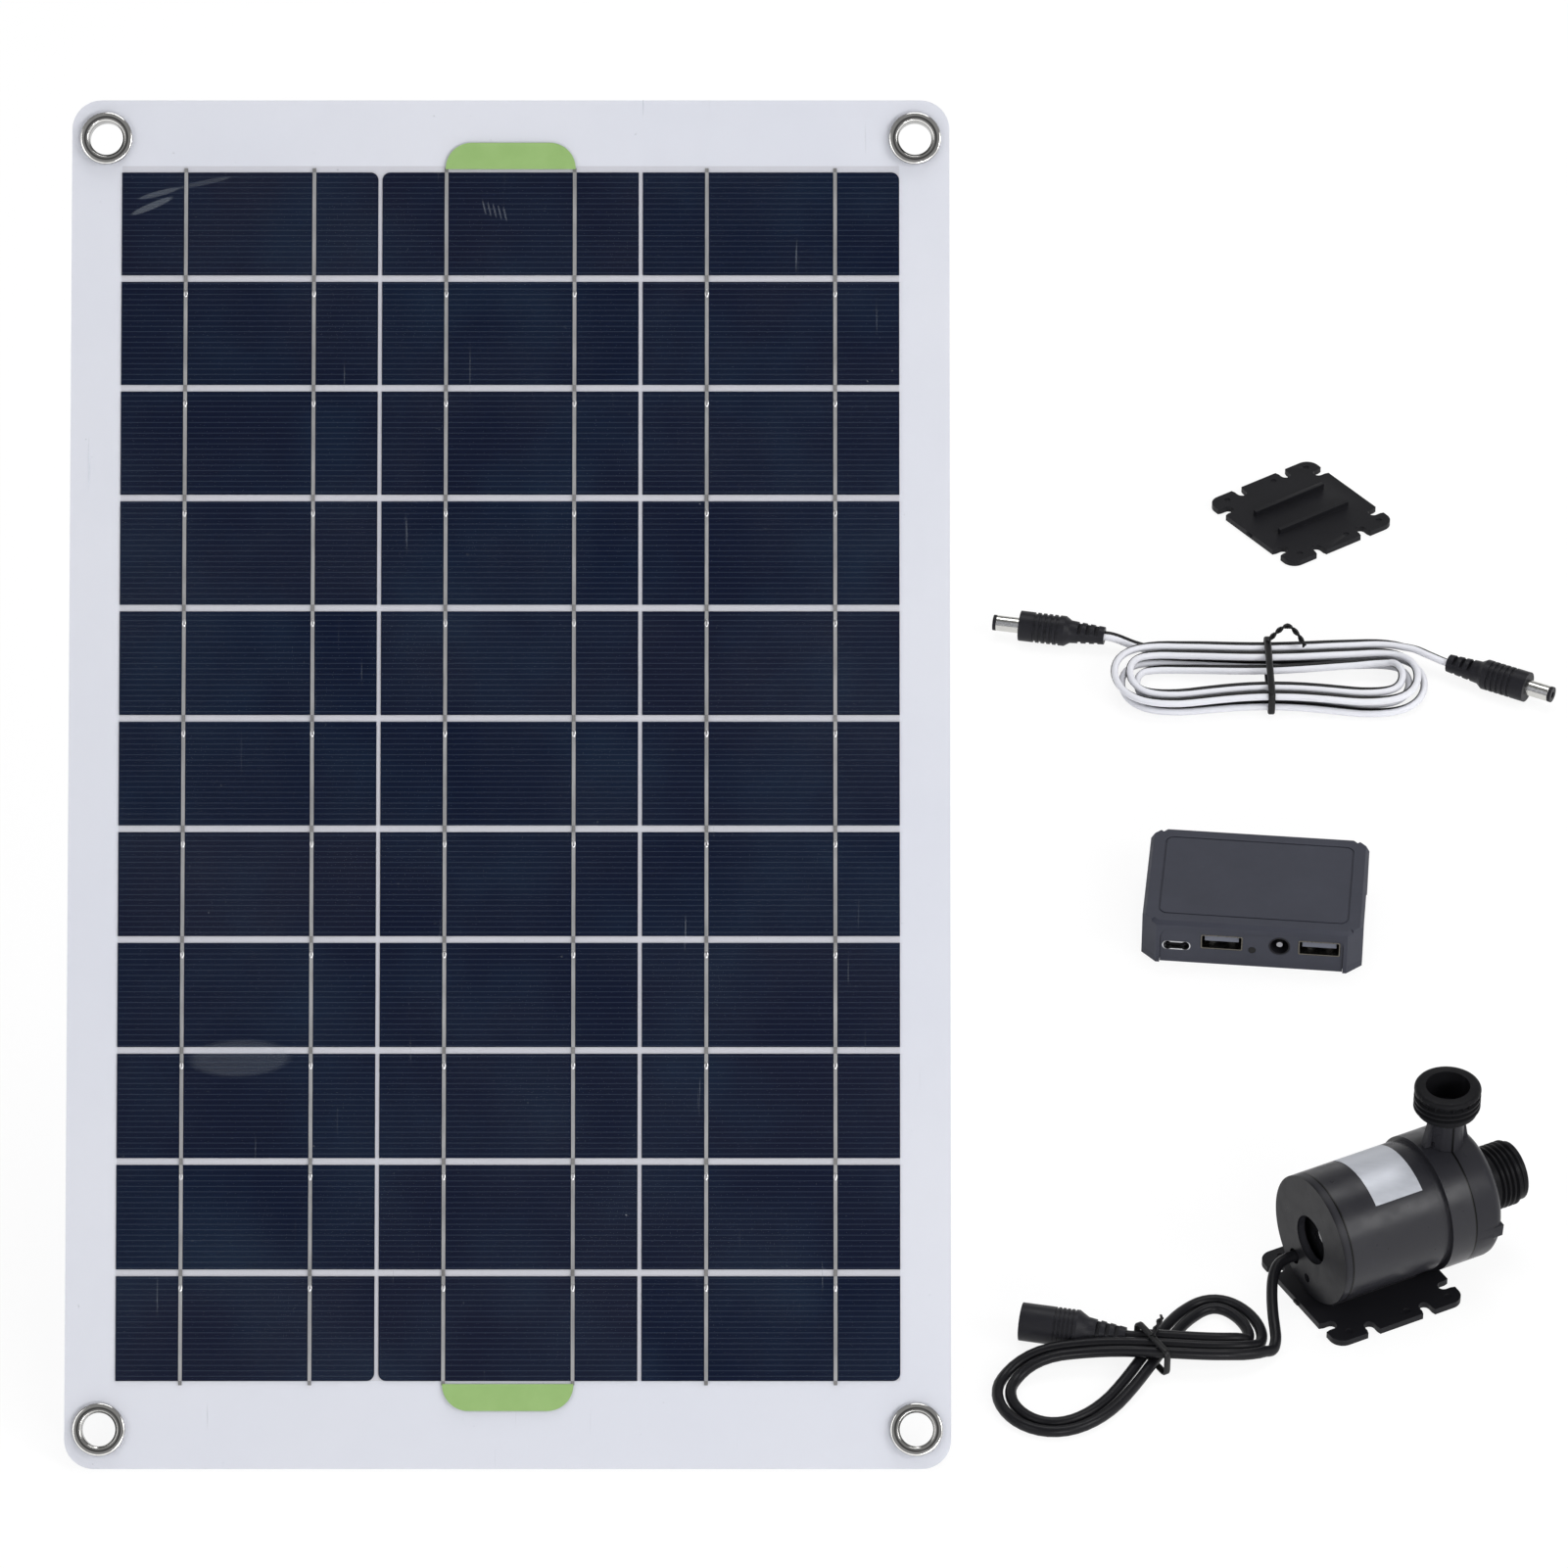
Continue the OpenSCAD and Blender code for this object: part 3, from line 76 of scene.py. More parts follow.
# %% [markdown]
# ## Small tools for node trees
# Every finish below is a node tree, so a few short helpers save a lot of typing. Each adds a node and
# fills its inputs, by a link or by a plain value. A socket knows the tree that it belongs to, so most
# of the helpers need only sockets and numbers.

# %% Add and fill nodes
def give(socket, value):
    if isinstance(value, bpy.types.NodeSocket):
        socket.id_data.links.new(value, socket)
    else:
        socket.default_value = value


def fill(node, **inputs):
    """Fills a node's inputs by their names, in which _ stands for a blank."""
    for key, value in inputs.items():
        give(node.inputs[key.replace("_", " ")], value)
    return node


def add(tree, kind, props=None, **inputs):
    node = tree.nodes.new(kind)
    for key, value in (props or {}).items():
        setattr(node, key, value)
    return fill(node, **inputs)

# %% Nodes that come up again and again
def own_coords(tree):
    return add(tree, "ShaderNodeTexCoord").outputs["Object"]


def mapped(vector, location=(0, 0, 0), rotation=(0, 0, 0), scale=(1, 1, 1), kind="POINT"):
    places = {"Vector": vector, "Location": location, "Rotation": rotation, "Scale": scale}
    return add(vector.id_data, "ShaderNodeMapping", {"vector_type": kind}, **places).outputs[0]


def parts_of(vector):
    return add(vector.id_data, "ShaderNodeSeparateXYZ", Vector=vector).outputs


def maths(operation, a, b=0.0, clamp=False):
    """A Math node, in the tree of whichever of its two values is a socket."""
    tree = (a if isinstance(a, bpy.types.NodeSocket) else b).id_data
    node = add(tree, "ShaderNodeMath", {"operation": operation, "use_clamp": clamp})
    give(node.inputs[0], a)
    give(node.inputs[1], b)
    return node.outputs[0]


def noise(vector, scale, detail, roughness=0.5):
    sizes = {"Scale": scale, "Detail": detail, "Roughness": roughness}
    return add(vector.id_data, "ShaderNodeTexNoise", Vector=vector, **sizes).outputs["Fac"]


def remap(value, low_in, high_in, low, high):
    ends = {"From Min": low_in, "From Max": high_in, "To Min": low, "To Max": high}
    return add(value.id_data, "ShaderNodeMapRange", Value=value, **ends).outputs[0]


def uneven(grey, low, high):
    """Spreads a noise over a range of its own: most of a noise lies between 0.3 and 0.7."""
    return remap(grey, 0.3, 0.7, low, high)


def blend(factor, first, second):
    node = add(factor.id_data, "ShaderNodeMix", {"data_type": "RGBA"})
    give(node.inputs[0], factor)
    for index, colour in ((6, first), (7, second)):
        give(node.inputs[index], (*colour, 1) if isinstance(colour, tuple) else colour)
    return node.outputs[2]

# %% Start a material
def start_material(name):
    """A new material, its shader, and the piece's own coordinates."""
    material = bpy.data.materials.new(name)
    material.use_nodes = True
    tree = material.node_tree
    return material, tree.nodes["Principled BSDF"], own_coords(tree)


def shade(colour, factor):
    return tuple(min(1.0, c * factor) for c in colour)


def add_bump(shader, height, distance):
    bump = add(height.id_data, "ShaderNodeBump", Height=height, Distance=distance, Strength=1.0)
    fill(shader, Normal=bump.outputs["Normal"])

# %% [markdown]
# ## Moulded plastics and rubbers
# A moulded part is never one flat colour. The mould leaves a fine grain, the gloss changes in soft
# patches, and handling leaves paler marks. Three layers of noise on the piece's own coordinates give
# this: a wide one for colour, a middle one for gloss and a fine one for the grain.

# %% Plastic and rubber finishes
def moulded(name, colour, roughness, grain=1.2e-5, spread=0.12, scuff=0.0, grain_scale=2600, gleam=0.25):
    material, shader, at = start_material(name)
    base = blend(noise(at, 55, 3), shade(colour, 1 - spread), shade(colour, 1 + spread))
    if scuff:
        streaks = noise(mapped(at, scale=(1, 1, 0.25)), 420, 5, 0.65)
        base = blend(remap(streaks, 0.62, 0.75, 0.0, scuff), base, shade(colour, 3.0))
    gloss = uneven(noise(at, 240, 4), roughness - 0.06, roughness + 0.06)
    fill(shader, Base_Color=base, Roughness=gloss, Specular_IOR_Level=gleam)
    add_bump(shader, noise(at, grain_scale, 2), grain)
    return material


pump_inner = moulded("pump_inner_plastic", (0.16, 0.16, 0.165), 0.5)
can_plastic = moulded("can_plastic", (0.42, 0.42, 0.43), 0.45)
plate_plastic = moulded("plate_plastic", (0.012, 0.012, 0.0145), 0.42, scuff=0.10, gleam=0.15)
box_plastic = moulded("box_plastic", (0.052, 0.055, 0.073), 0.5, grain=2.2e-5, scuff=0.06, gleam=0.19)
port_plastic = moulded("port_plastic", (0.052, 0.055, 0.073), 0.55, grain=1.5e-5)
plug_plastic = moulded("plug_plastic", (0.018, 0.018, 0.022), 0.42, scuff=0.08, gleam=0.17)
port_black = moulded("port_black", (0.003, 0.003, 0.004), 0.5, gleam=0.1)
tie_plastic = moulded("tie_plastic", (0.012, 0.012, 0.013), 0.38)
cord_sheath = moulded("cord_sheath", (0.010, 0.010, 0.012), 0.34, grain=6e-6, grain_scale=900, gleam=0.17)
strand_white = moulded("strand_white", (0.90, 0.905, 0.97), 0.42, grain=8e-6, spread=0.05, grain_scale=900)
strand_black = moulded("strand_black", (0.012, 0.012, 0.013), 0.38, grain=8e-6, grain_scale=900)
tongue_grey = moulded("tongue_grey", (0.17, 0.18, 0.22), 0.4, spread=0.04)
smoked_lens = moulded("smoked_lens", (0.006, 0.006, 0.007), 0.2, spread=0.04)
cast_resin = moulded("cast_resin", (0.012, 0.012, 0.014), 0.32, grain=4e-5, grain_scale=300)
seal_rubber = moulded("seal_rubber", (0.012, 0.012, 0.012), 0.6)
circuit_green = moulded("circuit_green", (0.02, 0.11, 0.05), 0.35, grain=2e-5, grain_scale=700)
print("materials so far", len(bpy.data.materials))

# %% [markdown]
# ## Metals and ceramics
# Plated and rolled metal shows its working marks as gloss, not as colour. A stretched noise gives the
# brushed direction, and a coarse one gives the duller places where the plating has been touched.

# %% Metal finishes
DENT_DEPTH = 2e-5


def plated(name, colour, roughness, stretch=(1, 1, 1), metallic=1.0):
    material, shader, at = start_material(name)
    tone = blend(noise(at, 130, 4), shade(colour, 0.82), shade(colour, 1.12))
    brushed = noise(mapped(at, scale=stretch), 900, 3)
    gloss = uneven(brushed, roughness - 0.08, roughness + 0.1)
    fill(shader, Base_Color=tone, Roughness=gloss, Metallic=metallic)
    add_bump(shader, noise(at, 210, 3), DENT_DEPTH)
    return material


barrel_nickel = plated("barrel_nickel", (0.66, 0.655, 0.63), 0.2)
shell_bronze = plated("shell_bronze", (0.16, 0.15, 0.13), 0.3, stretch=(1, 6, 1))
tinned_sheet = plated("tinned_sheet", (0.62, 0.63, 0.65), 0.3, stretch=(1, 6, 1))
pouch_foil = plated("pouch_foil", (0.55, 0.57, 0.6), 0.4)
core_steel = plated("core_steel", (0.36, 0.36, 0.38), 0.45, stretch=(8, 8, 1))
coil_copper = plated("coil_copper", (0.6, 0.27, 0.12), 0.35, stretch=(1, 12, 1))
magnet_black = plated("magnet_black", (0.09, 0.09, 0.1), 0.5, metallic=0.6)
shaft_ceramic = moulded("shaft_ceramic", (0.75, 0.74, 0.70), 0.25, spread=0.03)
print("materials so far", len(bpy.data.materials))

# %% [markdown]
# ## Rounding the solids
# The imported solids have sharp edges, and no moulded edge is sharp: the small radius along it is what
# catches the light. Each visible solid is copied, its loose triangles are merged, flat areas are
# dissolved to single faces, and a Bevel modifier rounds every edge over 35 degrees. A solid that is
# hidden, thin or very small keeps its own mesh and only gets a finish.

# %% Copy a solid and keep a piece
SMOOTH_ANGLE, ROUNDED_ANGLE, FLAT_ANGLE = math.radians(32), math.radians(35), math.radians(0.6)
MERGE_DIST, SLIVER_DIST = 2e-6, 1e-6


def copy_solid(node, name):
    mesh = nodes[node].data.copy()
    mesh.name = name
    solid = bmesh.new()
    solid.from_mesh(mesh)
    bmesh.ops.remove_doubles(solid, verts=solid.verts, dist=MERGE_DIST)
    bmesh.ops.dissolve_degenerate(solid, edges=solid.edges, dist=SLIVER_DIST)
    return mesh, solid


def keep_piece(name, data, stands_for=(), radius=0.0, segments=2):
    """Makes an object of finished data."""
    piece = bpy.data.objects.new(name, data)
    scene.collection.objects.link(piece)
    if radius:
        bevel = piece.modifiers.new("edge_radius", "BEVEL")
        bevel.width = radius * MM
        bevel.segments = segments
        bevel.limit_method = "ANGLE"
        bevel.angle_limit = ROUNDED_ANGLE
        bevel.harden_normals = True
    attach(piece, "kit")
    if stands_for:
        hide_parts(*stands_for)
    return piece

# %% Dress or paint a solid
def one_finish(mesh, material):
    mesh.materials.clear()
    mesh.materials.append(material)
    for face in mesh.polygons:
        face.material_index = 0


def finish_copy(mesh, solid, material, node, radius=0.0, segments=2):
    bmesh.ops.dissolve_limit(
        solid, angle_limit=FLAT_ANGLE, verts=solid.verts, edges=solid.edges, delimit={"NORMAL"}
    )
    solid.to_mesh(mesh)
    solid.free()
    one_finish(mesh, material)
    for face in mesh.polygons:
        face.use_smooth = True
    mesh.set_sharp_from_angle(angle=SMOOTH_ANGLE)
    return keep_piece(mesh.name, mesh, [node], radius, segments)


def dress(node, material, radius, segments=2):
    mesh, solid = copy_solid(node, node + "_dressed")
    return finish_copy(mesh, solid, material, node, radius, segments)


def paint(finishes):
    for node, material in finishes.items():
        one_finish(nodes[node].data, material)
    print("painted", ", ".join(finishes))

# %% [markdown]
# ## Frames of reference
# The panel leans and the pump is turned, but it is far easier to think of the panel as lying flat and
# of the pump as lying along one axis. The pump's body lies on the two ribs of its plate, which gives
# the height of its axis.

# %% Panel and pump frames
PANEL_AT = Vector((-265, -89, 0)) * MM
PANEL_TILT = math.radians(50)
PANEL_H = 420.0
PANEL = Matrix.Translation(PANEL_AT) @ Matrix.Rotation(PANEL_TILT, 4, "X")
PUMP_YAW = math.radians(28)
BODY_R, BASE_STATION = 21.0, 19.5 * MM
RIB_TOP, RIB_INSIDE = 4.45, 6.2
AXIS_HIGH = (RIB_TOP + math.sqrt(BODY_R**2 - RIB_INSIDE**2)) * MM
PUMP = (
    Matrix.Rotation(PUMP_YAW, 4, "Z")
    @ Matrix.Translation((-BASE_STATION, 0, AXIS_HIGH))
)


def on_pump(station, y, z):
    return PUMP @ (Vector((station, y, z)) * MM)


def start_on_panel(name):
    """A new material whose coordinates run across the panel, up its slope and out of its face."""
    material, shader, at = start_material(name)
    return material, shader, mapped(at, tuple(PANEL_AT), (PANEL_TILT, 0, 0), kind="TEXTURE")


print("pump axis is", round(AXIS_HIGH / MM, 2), "mm high")

# %% [markdown]
# ## Solar cells
# Each cell is a slice of a silicon wafer, nearly black with a blue cast that differs a little from
# cell to cell. Fine silver fingers are printed across it. Both follow the cell grid, so the material
# finds a cell's column and row from the panel's own coordinates and draws a random number for it.

# %% Cell finish
CELL_W, CELL_H = 78.85 * MM, 31.85 * MM
COLUMN_PITCH, ROW_PITCH = 80.1 * MM, 33.9 * MM
GRID_LEFT, GRID_LOW = -119.525 * MM, 26.7 * MM
GRID_ROWS, GRID_COLUMNS = 11, 3
FINGER_PITCH, FINGER_SHARE = 1.65 * MM, 0.13


def grid_part(operation, value, start, pitch):
    """FLOOR gives the number of the step that a place lies in, and FRACT how far along it that is."""
    return maths(operation, maths("DIVIDE", maths("SUBTRACT", value, start), pitch))


def cell_finish():
    material, shader, at = start_on_panel("cell_silicon")
    tree = at.id_data
    across, up, _ = parts_of(at)
    column = grid_part("FLOOR", across, GRID_LEFT, COLUMN_PITCH)
    row = grid_part("FLOOR", up, GRID_LOW, ROW_PITCH)
    key = add(tree, "ShaderNodeCombineXYZ", X=column, Y=row).outputs[0]
    chance = add(tree, "ShaderNodeTexWhiteNoise", {"noise_dimensions": "2D"}, Vector=key).outputs["Value"]
    base = blend(chance, (0.0014, 0.0052, 0.021), (0.0046, 0.0072, 0.022))
    cloud = noise(at, 26, 4)
    base = blend(remap(cloud, 0.45, 0.75, 0.0, 0.55), base, (0.0036, 0.0150, 0.038))
    finger = maths("LESS_THAN", grid_part("FRACT", up, 0.0, FINGER_PITCH), FINGER_SHARE)
    base = blend(maths("MULTIPLY", finger, 0.22), base, (0.09, 0.115, 0.175))
    fill(shader, Base_Color=base, Roughness=uneven(cloud, 0.3, 0.42), Specular_IOR_Level=0.1)
    return material


paint({"solar_cells": cell_finish()})

# %% [markdown]
# ## Ribbons and backing board
# Tinned ribbons run over the cells, bright where they lie on a cell and duller in the gaps. The board
# behind is white plastic, a little greyer where it shows between the cells, and only on its front. Both
# materials reuse the grid above, so that nothing has to be painted by hand.

# %% Ribbon and laminate finishes
BOARD_MIDDLE = 0.8 * MM


def ribbon_finish():
    material, shader, at = start_on_panel("ribbon_tin")
    step = grid_part("FRACT", parts_of(at)[1], GRID_LOW, ROW_PITCH)
    between = maths("GREATER_THAN", step, CELL_H / ROW_PITCH)
    streak = noise(mapped(at, scale=(1, 0.15, 1)), 700, 4)
    bright = blend(streak, (0.27, 0.27, 0.275), (0.45, 0.45, 0.46))
    base = blend(maths("MULTIPLY", between, 0.7), bright, (0.17, 0.165, 0.16))
    fill(shader, Base_Color=base, Roughness=uneven(streak, 0.28, 0.5), Metallic=0.35)
    return material


def laminate_finish():
    material, shader, at = start_on_panel("white_laminate")
    base = blend(noise(at, 9, 3), (0.655, 0.675, 0.755), (0.73, 0.74, 0.795))
    across, up, out = parts_of(at)
    among = maths("LESS_THAN", maths("ABSOLUTE", across), -GRID_LEFT)
    for test, value, edge in (
        ("GREATER_THAN", out, BOARD_MIDDLE),
        ("GREATER_THAN", up, GRID_LOW),
        ("LESS_THAN", up, GRID_LOW + GRID_ROWS * ROW_PITCH),
    ):
        among = maths("MULTIPLY", among, maths(test, value, edge))
    base = blend(maths("MULTIPLY", among, 0.8), base, (0.56, 0.56, 0.61))
    fill(shader, Base_Color=base, Roughness=uneven(noise(at, 90, 3), 0.42, 0.56))
    add_bump(shader, noise(at, 520, 2), 1.5e-5)
    return material


paint({"cell_ribbons": ribbon_finish(), "panel_board": laminate_finish()})

# %% [markdown]
# ## Clear film
# The film covers cells and margin alike and runs out to the edge of the board. It shows only by its
# scratches, its dust and a few rubbed marks, so the material is see-through and those raise its alpha.
# Only the film's outer face matters to the eye: that face is kept from the solid and thickened back to
# the board.

# %% Film finish
# Random scratches: turn, stretch, where the noise starts and ends, weight
SCRATCHES = [
    (0.35, (14, 0.5, 1), 0.755, 0.80, 0.12),
    (-0.62, (16, 0.4, 1), 0.765, 0.81, 0.11),
    (1.25, (11, 0.4, 1), 0.76, 0.81, 0.10),
    (-1.45, (13, 0.6, 1), 0.77, 0.82, 0.09),
]
# Rubbed marks: middle, turn in degrees, half length, half width, weight
STROKES = [
    (-82, 125, 2.3, 16.5, 6.0, 0.045),
    (-110.3, 387.1, 23, 7.4, 1.1, 0.11),
    (-108.1, 391.0, 15, 7.0, 0.9, 0.09),
    (-94.0, 394.4, 12, 9.0, 0.8, 0.05),
    *((-8.1 + 1.6 * k, 386.6 - 0.5 * k, -76, 2.5, 0.3, 0.09) for k in range(5)),
]


def film_finish():
    material, shader, at = start_on_panel("clear_film")
    marks = 0.0
    for turn, stretch, low, high, weight in SCRATCHES:
        line = noise(mapped(at, (turn, turn * 0.7, 0), (0, 0, turn), stretch), 46, 2)
        marks = maths("ADD", marks, remap(line, low, high, 0.0, weight))
    dust = remap(noise(at, 900, 1), 0.80, 0.86, 0.0, 0.28)
    haze = remap(noise(at, 14, 5, 0.6), 0.42, 0.75, 0.002, 0.014)
    for x, y, turn, long, wide, weight in STROKES:
        place = ((x * MM, y * MM, 0), (0, 0, math.radians(turn)), (long * MM, wide * MM, 1))
        stroke = add(
            at.id_data, "ShaderNodeTexGradient", {"gradient_type": "SPHERICAL"},
            Vector=mapped(at, *place, kind="TEXTURE"),
        )
        haze = maths("ADD", haze, remap(stroke.outputs["Fac"], 0.0, 0.2, 0.0, weight))
    cover = maths("ADD", maths("ADD", marks, dust), haze, clamp=True)
    gloss = uneven(noise(at, 70, 3), 0.32, 0.5)
    fill(shader, Alpha=cover, Roughness=gloss, Base_Color=(0.58, 0.65, 0.74, 1), Specular_IOR_Level=0.2)
    return material


clear_film = film_finish()
print("film has", len(SCRATCHES), "kinds of scratches and", len(STROKES), "rubbed marks")

# %% Film over the panel
FILM_TOP, FILM_T, FILM_SLACK = 2.5, 0.86, 0.02


def film_sheet():
    mesh, solid = copy_solid("front_film", "film_sheet")
    back = PANEL.inverted()
    low = (FILM_TOP - FILM_SLACK) * MM
    under = [face for face in solid.faces if any((back @ v.co).z < low for v in face.verts)]
    bmesh.ops.delete(solid, geom=under, context="FACES")
    piece = finish_copy(mesh, solid, clear_film, "front_film")
    for face in mesh.polygons:
        face.use_smooth = False
    thick = piece.modifiers.new("film_thickness", "SOLIDIFY")
    thick.thickness = FILM_T * MM
    thick.offset = -1
    print("film faces", len(mesh.polygons))


film_sheet()

# %% [markdown]
# ## Growing pieces with Geometry Nodes
# What repeats or follows a path is grown by a node tree with named sizes. The tree runs once on an empty
# mesh, and its result is kept as a plain mesh, so that nothing is left to be worked out later.

# %% Geometry Nodes helpers
def new_tree(name, inputs):
    tree = bpy.data.node_groups.new(name, "GeometryNodeTree")
    tree.interface.new_socket("Geometry", in_out="OUTPUT", socket_type="NodeSocketGeometry")
    sockets = {}
    for label, value in inputs.items():
        kind = "NodeSocketInt" if isinstance(value, int) else "NodeSocketFloat"
        socket = tree.interface.new_socket(label, in_out="INPUT", socket_type=kind)
        socket.default_value = value
        sockets[label] = socket.identifier
    return tree, tree.nodes.new("NodeGroupInput").outputs, sockets


def end_tree(tree, geometry, material):
    real = add(tree, "GeometryNodeRealizeInstances", Geometry=geometry)
    dressed = add(tree, "GeometryNodeSetMaterial", Geometry=real.outputs[0], Material=material)
    give(tree.nodes.new("NodeGroupOutput").inputs[0], dressed.outputs[0])


def grown(name, tree, sockets, values, material, slot, place=None, sharp=None):
    holder = bpy.data.objects.new(name + "_holder", bpy.data.meshes.new(name + "_holder"))
    scene.collection.objects.link(holder)
    modifier = holder.modifiers.new("grow", "NODES")
    modifier.node_group = tree
    for label, value in values.items():
        modifier[sockets[label]] = value
    depsgraph = bpy.context.evaluated_depsgraph_get()
    mesh = bpy.data.meshes.new_from_object(holder.evaluated_get(depsgraph))
    bpy.data.objects.remove(holder)
    mesh.name = name
    if material.name not in mesh.materials:
        mesh.materials.append(material)
    if place:
        mesh.transform(place)
    for face in mesh.polygons:
        face.use_smooth = True
    if sharp:
        mesh.set_sharp_from_angle(angle=math.radians(sharp))
    keep_piece(name, mesh)
    print(name, "faces", len(mesh.polygons))

# %% [markdown]
# ## Solder spots
# A ribbon is soldered to each cell near its upper edge, which leaves rows of small bright domes. They
# repeat on a grid, so Geometry Nodes make them: a grid of points, one pair of flat domes on each, then
# the whole sheet is turned onto the panel.

# %% Solder spots
SPOT_BELOW, SPOT_HIGH, SPOT_R = 3.6 * MM, 2.15 * MM, 0.8 * MM
SPOT_SHAPE = (0.8, 1.6, 0.2)


def solder_tree(material):
    tree, given, sockets = new_tree("solder_spots", {
        "Column Pitch": COLUMN_PITCH,
        "Row Pitch": ROW_PITCH,
        "Ribbon Spread": CELL_W / 2,
        "Spot Radius": SPOT_R,
        "Rows": GRID_ROWS - 1,
    })
    grid = add(
        tree, "GeometryNodeMeshGrid", Vertices_X=GRID_COLUMNS, Vertices_Y=given["Rows"],
        Size_X=maths("MULTIPLY", given["Column Pitch"], GRID_COLUMNS - 1),
        Size_Y=maths("MULTIPLY", given["Row Pitch"], GRID_ROWS - 2),
    )
    dome = add(tree, "GeometryNodeMeshIcoSphere", Radius=given["Spot Radius"], Subdivisions=2)
    flat = add(tree, "GeometryNodeTransform", Geometry=dome.outputs["Mesh"], Scale=SPOT_SHAPE)
    pair = add(tree, "GeometryNodeJoinGeometry")
    for side in (-0.5, 0.5):
        place = add(tree, "ShaderNodeCombineXYZ", X=maths("MULTIPLY", given["Ribbon Spread"], side))
        moved = add(
            tree, "GeometryNodeTransform", Geometry=flat.outputs[0], Translation=place.outputs[0]
        )
        fill(pair, Geometry=moved.outputs[0])
    spread = add(
        tree, "GeometryNodeInstanceOnPoints", Points=grid.outputs["Mesh"], Instance=pair.outputs[0]
    )
    middle = GRID_LOW + CELL_H - SPOT_BELOW + (GRID_ROWS - 2) * ROW_PITCH / 2
    lean = add(
        tree, "GeometryNodeTransform", Geometry=spread.outputs[0], Rotation=(PANEL_TILT, 0, 0),
        Translation=PANEL @ Vector((0, middle, SPOT_HIGH)),
    )
    end_tree(tree, lean.outputs[0], material)
    return tree, sockets


solder_bright = plated("solder_bright", (0.70, 0.70, 0.72), 0.3)
grown("solder_spots", *solder_tree(solder_bright), {"Spot Radius": SPOT_R}, solder_bright, "ribbon")

# %% [markdown]
# ## Green tabs
# Two plain green tabs are printed above and below the cells. Each is a thin strip with two large
# rounded corners, laid on the film, with a slightly uneven ink. A thin closed plate gives it an edge of
# its own, which a painted patch would not have.

# %% Closed forms from rings of points
def skin(solid, rings, smooth=True, loop=False):
    """Joins rings of points by bands of faces, and closes both ends unless the rings form a loop."""
    faces = []
    for ring, following in zip(rings, rings[1:] + rings[:1] if loop else rings[1:]):
        for k, point in enumerate(ring):
            n = (k + 1) % len(ring)
            face = solid.faces.new((point, ring[n], following[n], following[k]))
            face.smooth = smooth
            faces.append(face)
    if not loop:
        solid.faces.new(list(reversed(rings[0])))
        solid.faces.new(rings[-1])
    return faces


def built(name, solid, slot, *materials, stands_for=(), sharp=None):
    """Turns the faces of a closed form outwards and keeps it as a piece."""
    bmesh.ops.recalc_face_normals(solid, faces=solid.faces)
    mesh = bpy.data.meshes.new(name)
    solid.to_mesh(mesh)
    solid.free()
    for material in materials:
        mesh.materials.append(material)
    if sharp:
        mesh.set_sharp_from_angle(angle=math.radians(sharp))
    print(name, "faces", len(mesh.polygons))
    return keep_piece(name, mesh, stands_for)


def flat_piece(name, outline, low, high, place, material, slot):
    """A closed plate from a 2-D outline in millimetres, between two heights of the given frame."""
    solid = bmesh.new()
    rings = [[solid.verts.new(place @ (Vector((x, y, z)) * MM)) for x, y in outline] for z in (low, high)]
    skin(solid, rings, smooth=False)
    built(name, solid, slot, material)

# %% Green tabs
TAB_W, TAB_H, TAB_R, TAB_T = 40.0, 8.2, 8.0, 0.08
UPPER_TAB, LOWER_TAB = PANEL_H - 21.5, 17.6


def tab_finish():
    material, shader, at = start_on_panel("tab_green")
    ink = blend(noise(at, 160, 4), (0.25, 0.42, 0.13), (0.32, 0.50, 0.18))
    fill(shader, Base_Color=ink, Roughness=uneven(noise(at, 500, 3), 0.4, 0.55))
    return material


def tab_outline(low, upward):
    half = TAB_W / 2
    arc = [math.radians(a) for a in range(0, 91, 6)]
    right = [(half - TAB_R + TAB_R * math.cos(a), TAB_H - TAB_R + TAB_R * math.sin(a)) for a in arc]
    left = [(-x, y) for x, y in reversed(right)]
    points = [(-half, 0), (half, 0), *right, *left]
    return [(x, low + y) for x, y in points] if upward else [(-x, low + TAB_H - y) for x, y in points]


tab_ink = tab_finish()
for name, low, upward in (("upper_tab", UPPER_TAB, True), ("lower_tab", LOWER_TAB, False)):
    outline = tab_outline(low, upward)
    flat_piece(name, outline, FILM_TOP, FILM_TOP + TAB_T, PANEL, tab_ink, "laminate")

# %% [markdown]
# ## Eyelets and the junction box
# The eyelets are rolled from thin nickel-plated sheet, so their rims are already round in the solids,
# and only the metal is needed. Its reflections are painted into its colour: a colour ramp over the
# distance from the hole's middle paints highlights down both flanks of the roll, a dull line along its
# crest and painted shade at both edges. The junction box on the back gets its moulded edges.

# %% Eyelet finish
EYELET_X, EYELET_LOW, EYELET_HIGH = 124.4 * MM, 12 * MM, 408 * MM
ROLL_INNER, ROLL_OUTER = 4.9 * MM, 8.2 * MM
# Painted reflection: brightness painted into the plating, by the share of the way from the inner to the
# outer edge of the roll
ROLL_PAINTED_REFLECTION = [(0.12, 0.60), (0.36, 0.88), (0.46, 0.16), (0.54, 0.30), (0.64, 1.0), (0.88, 0.90)]


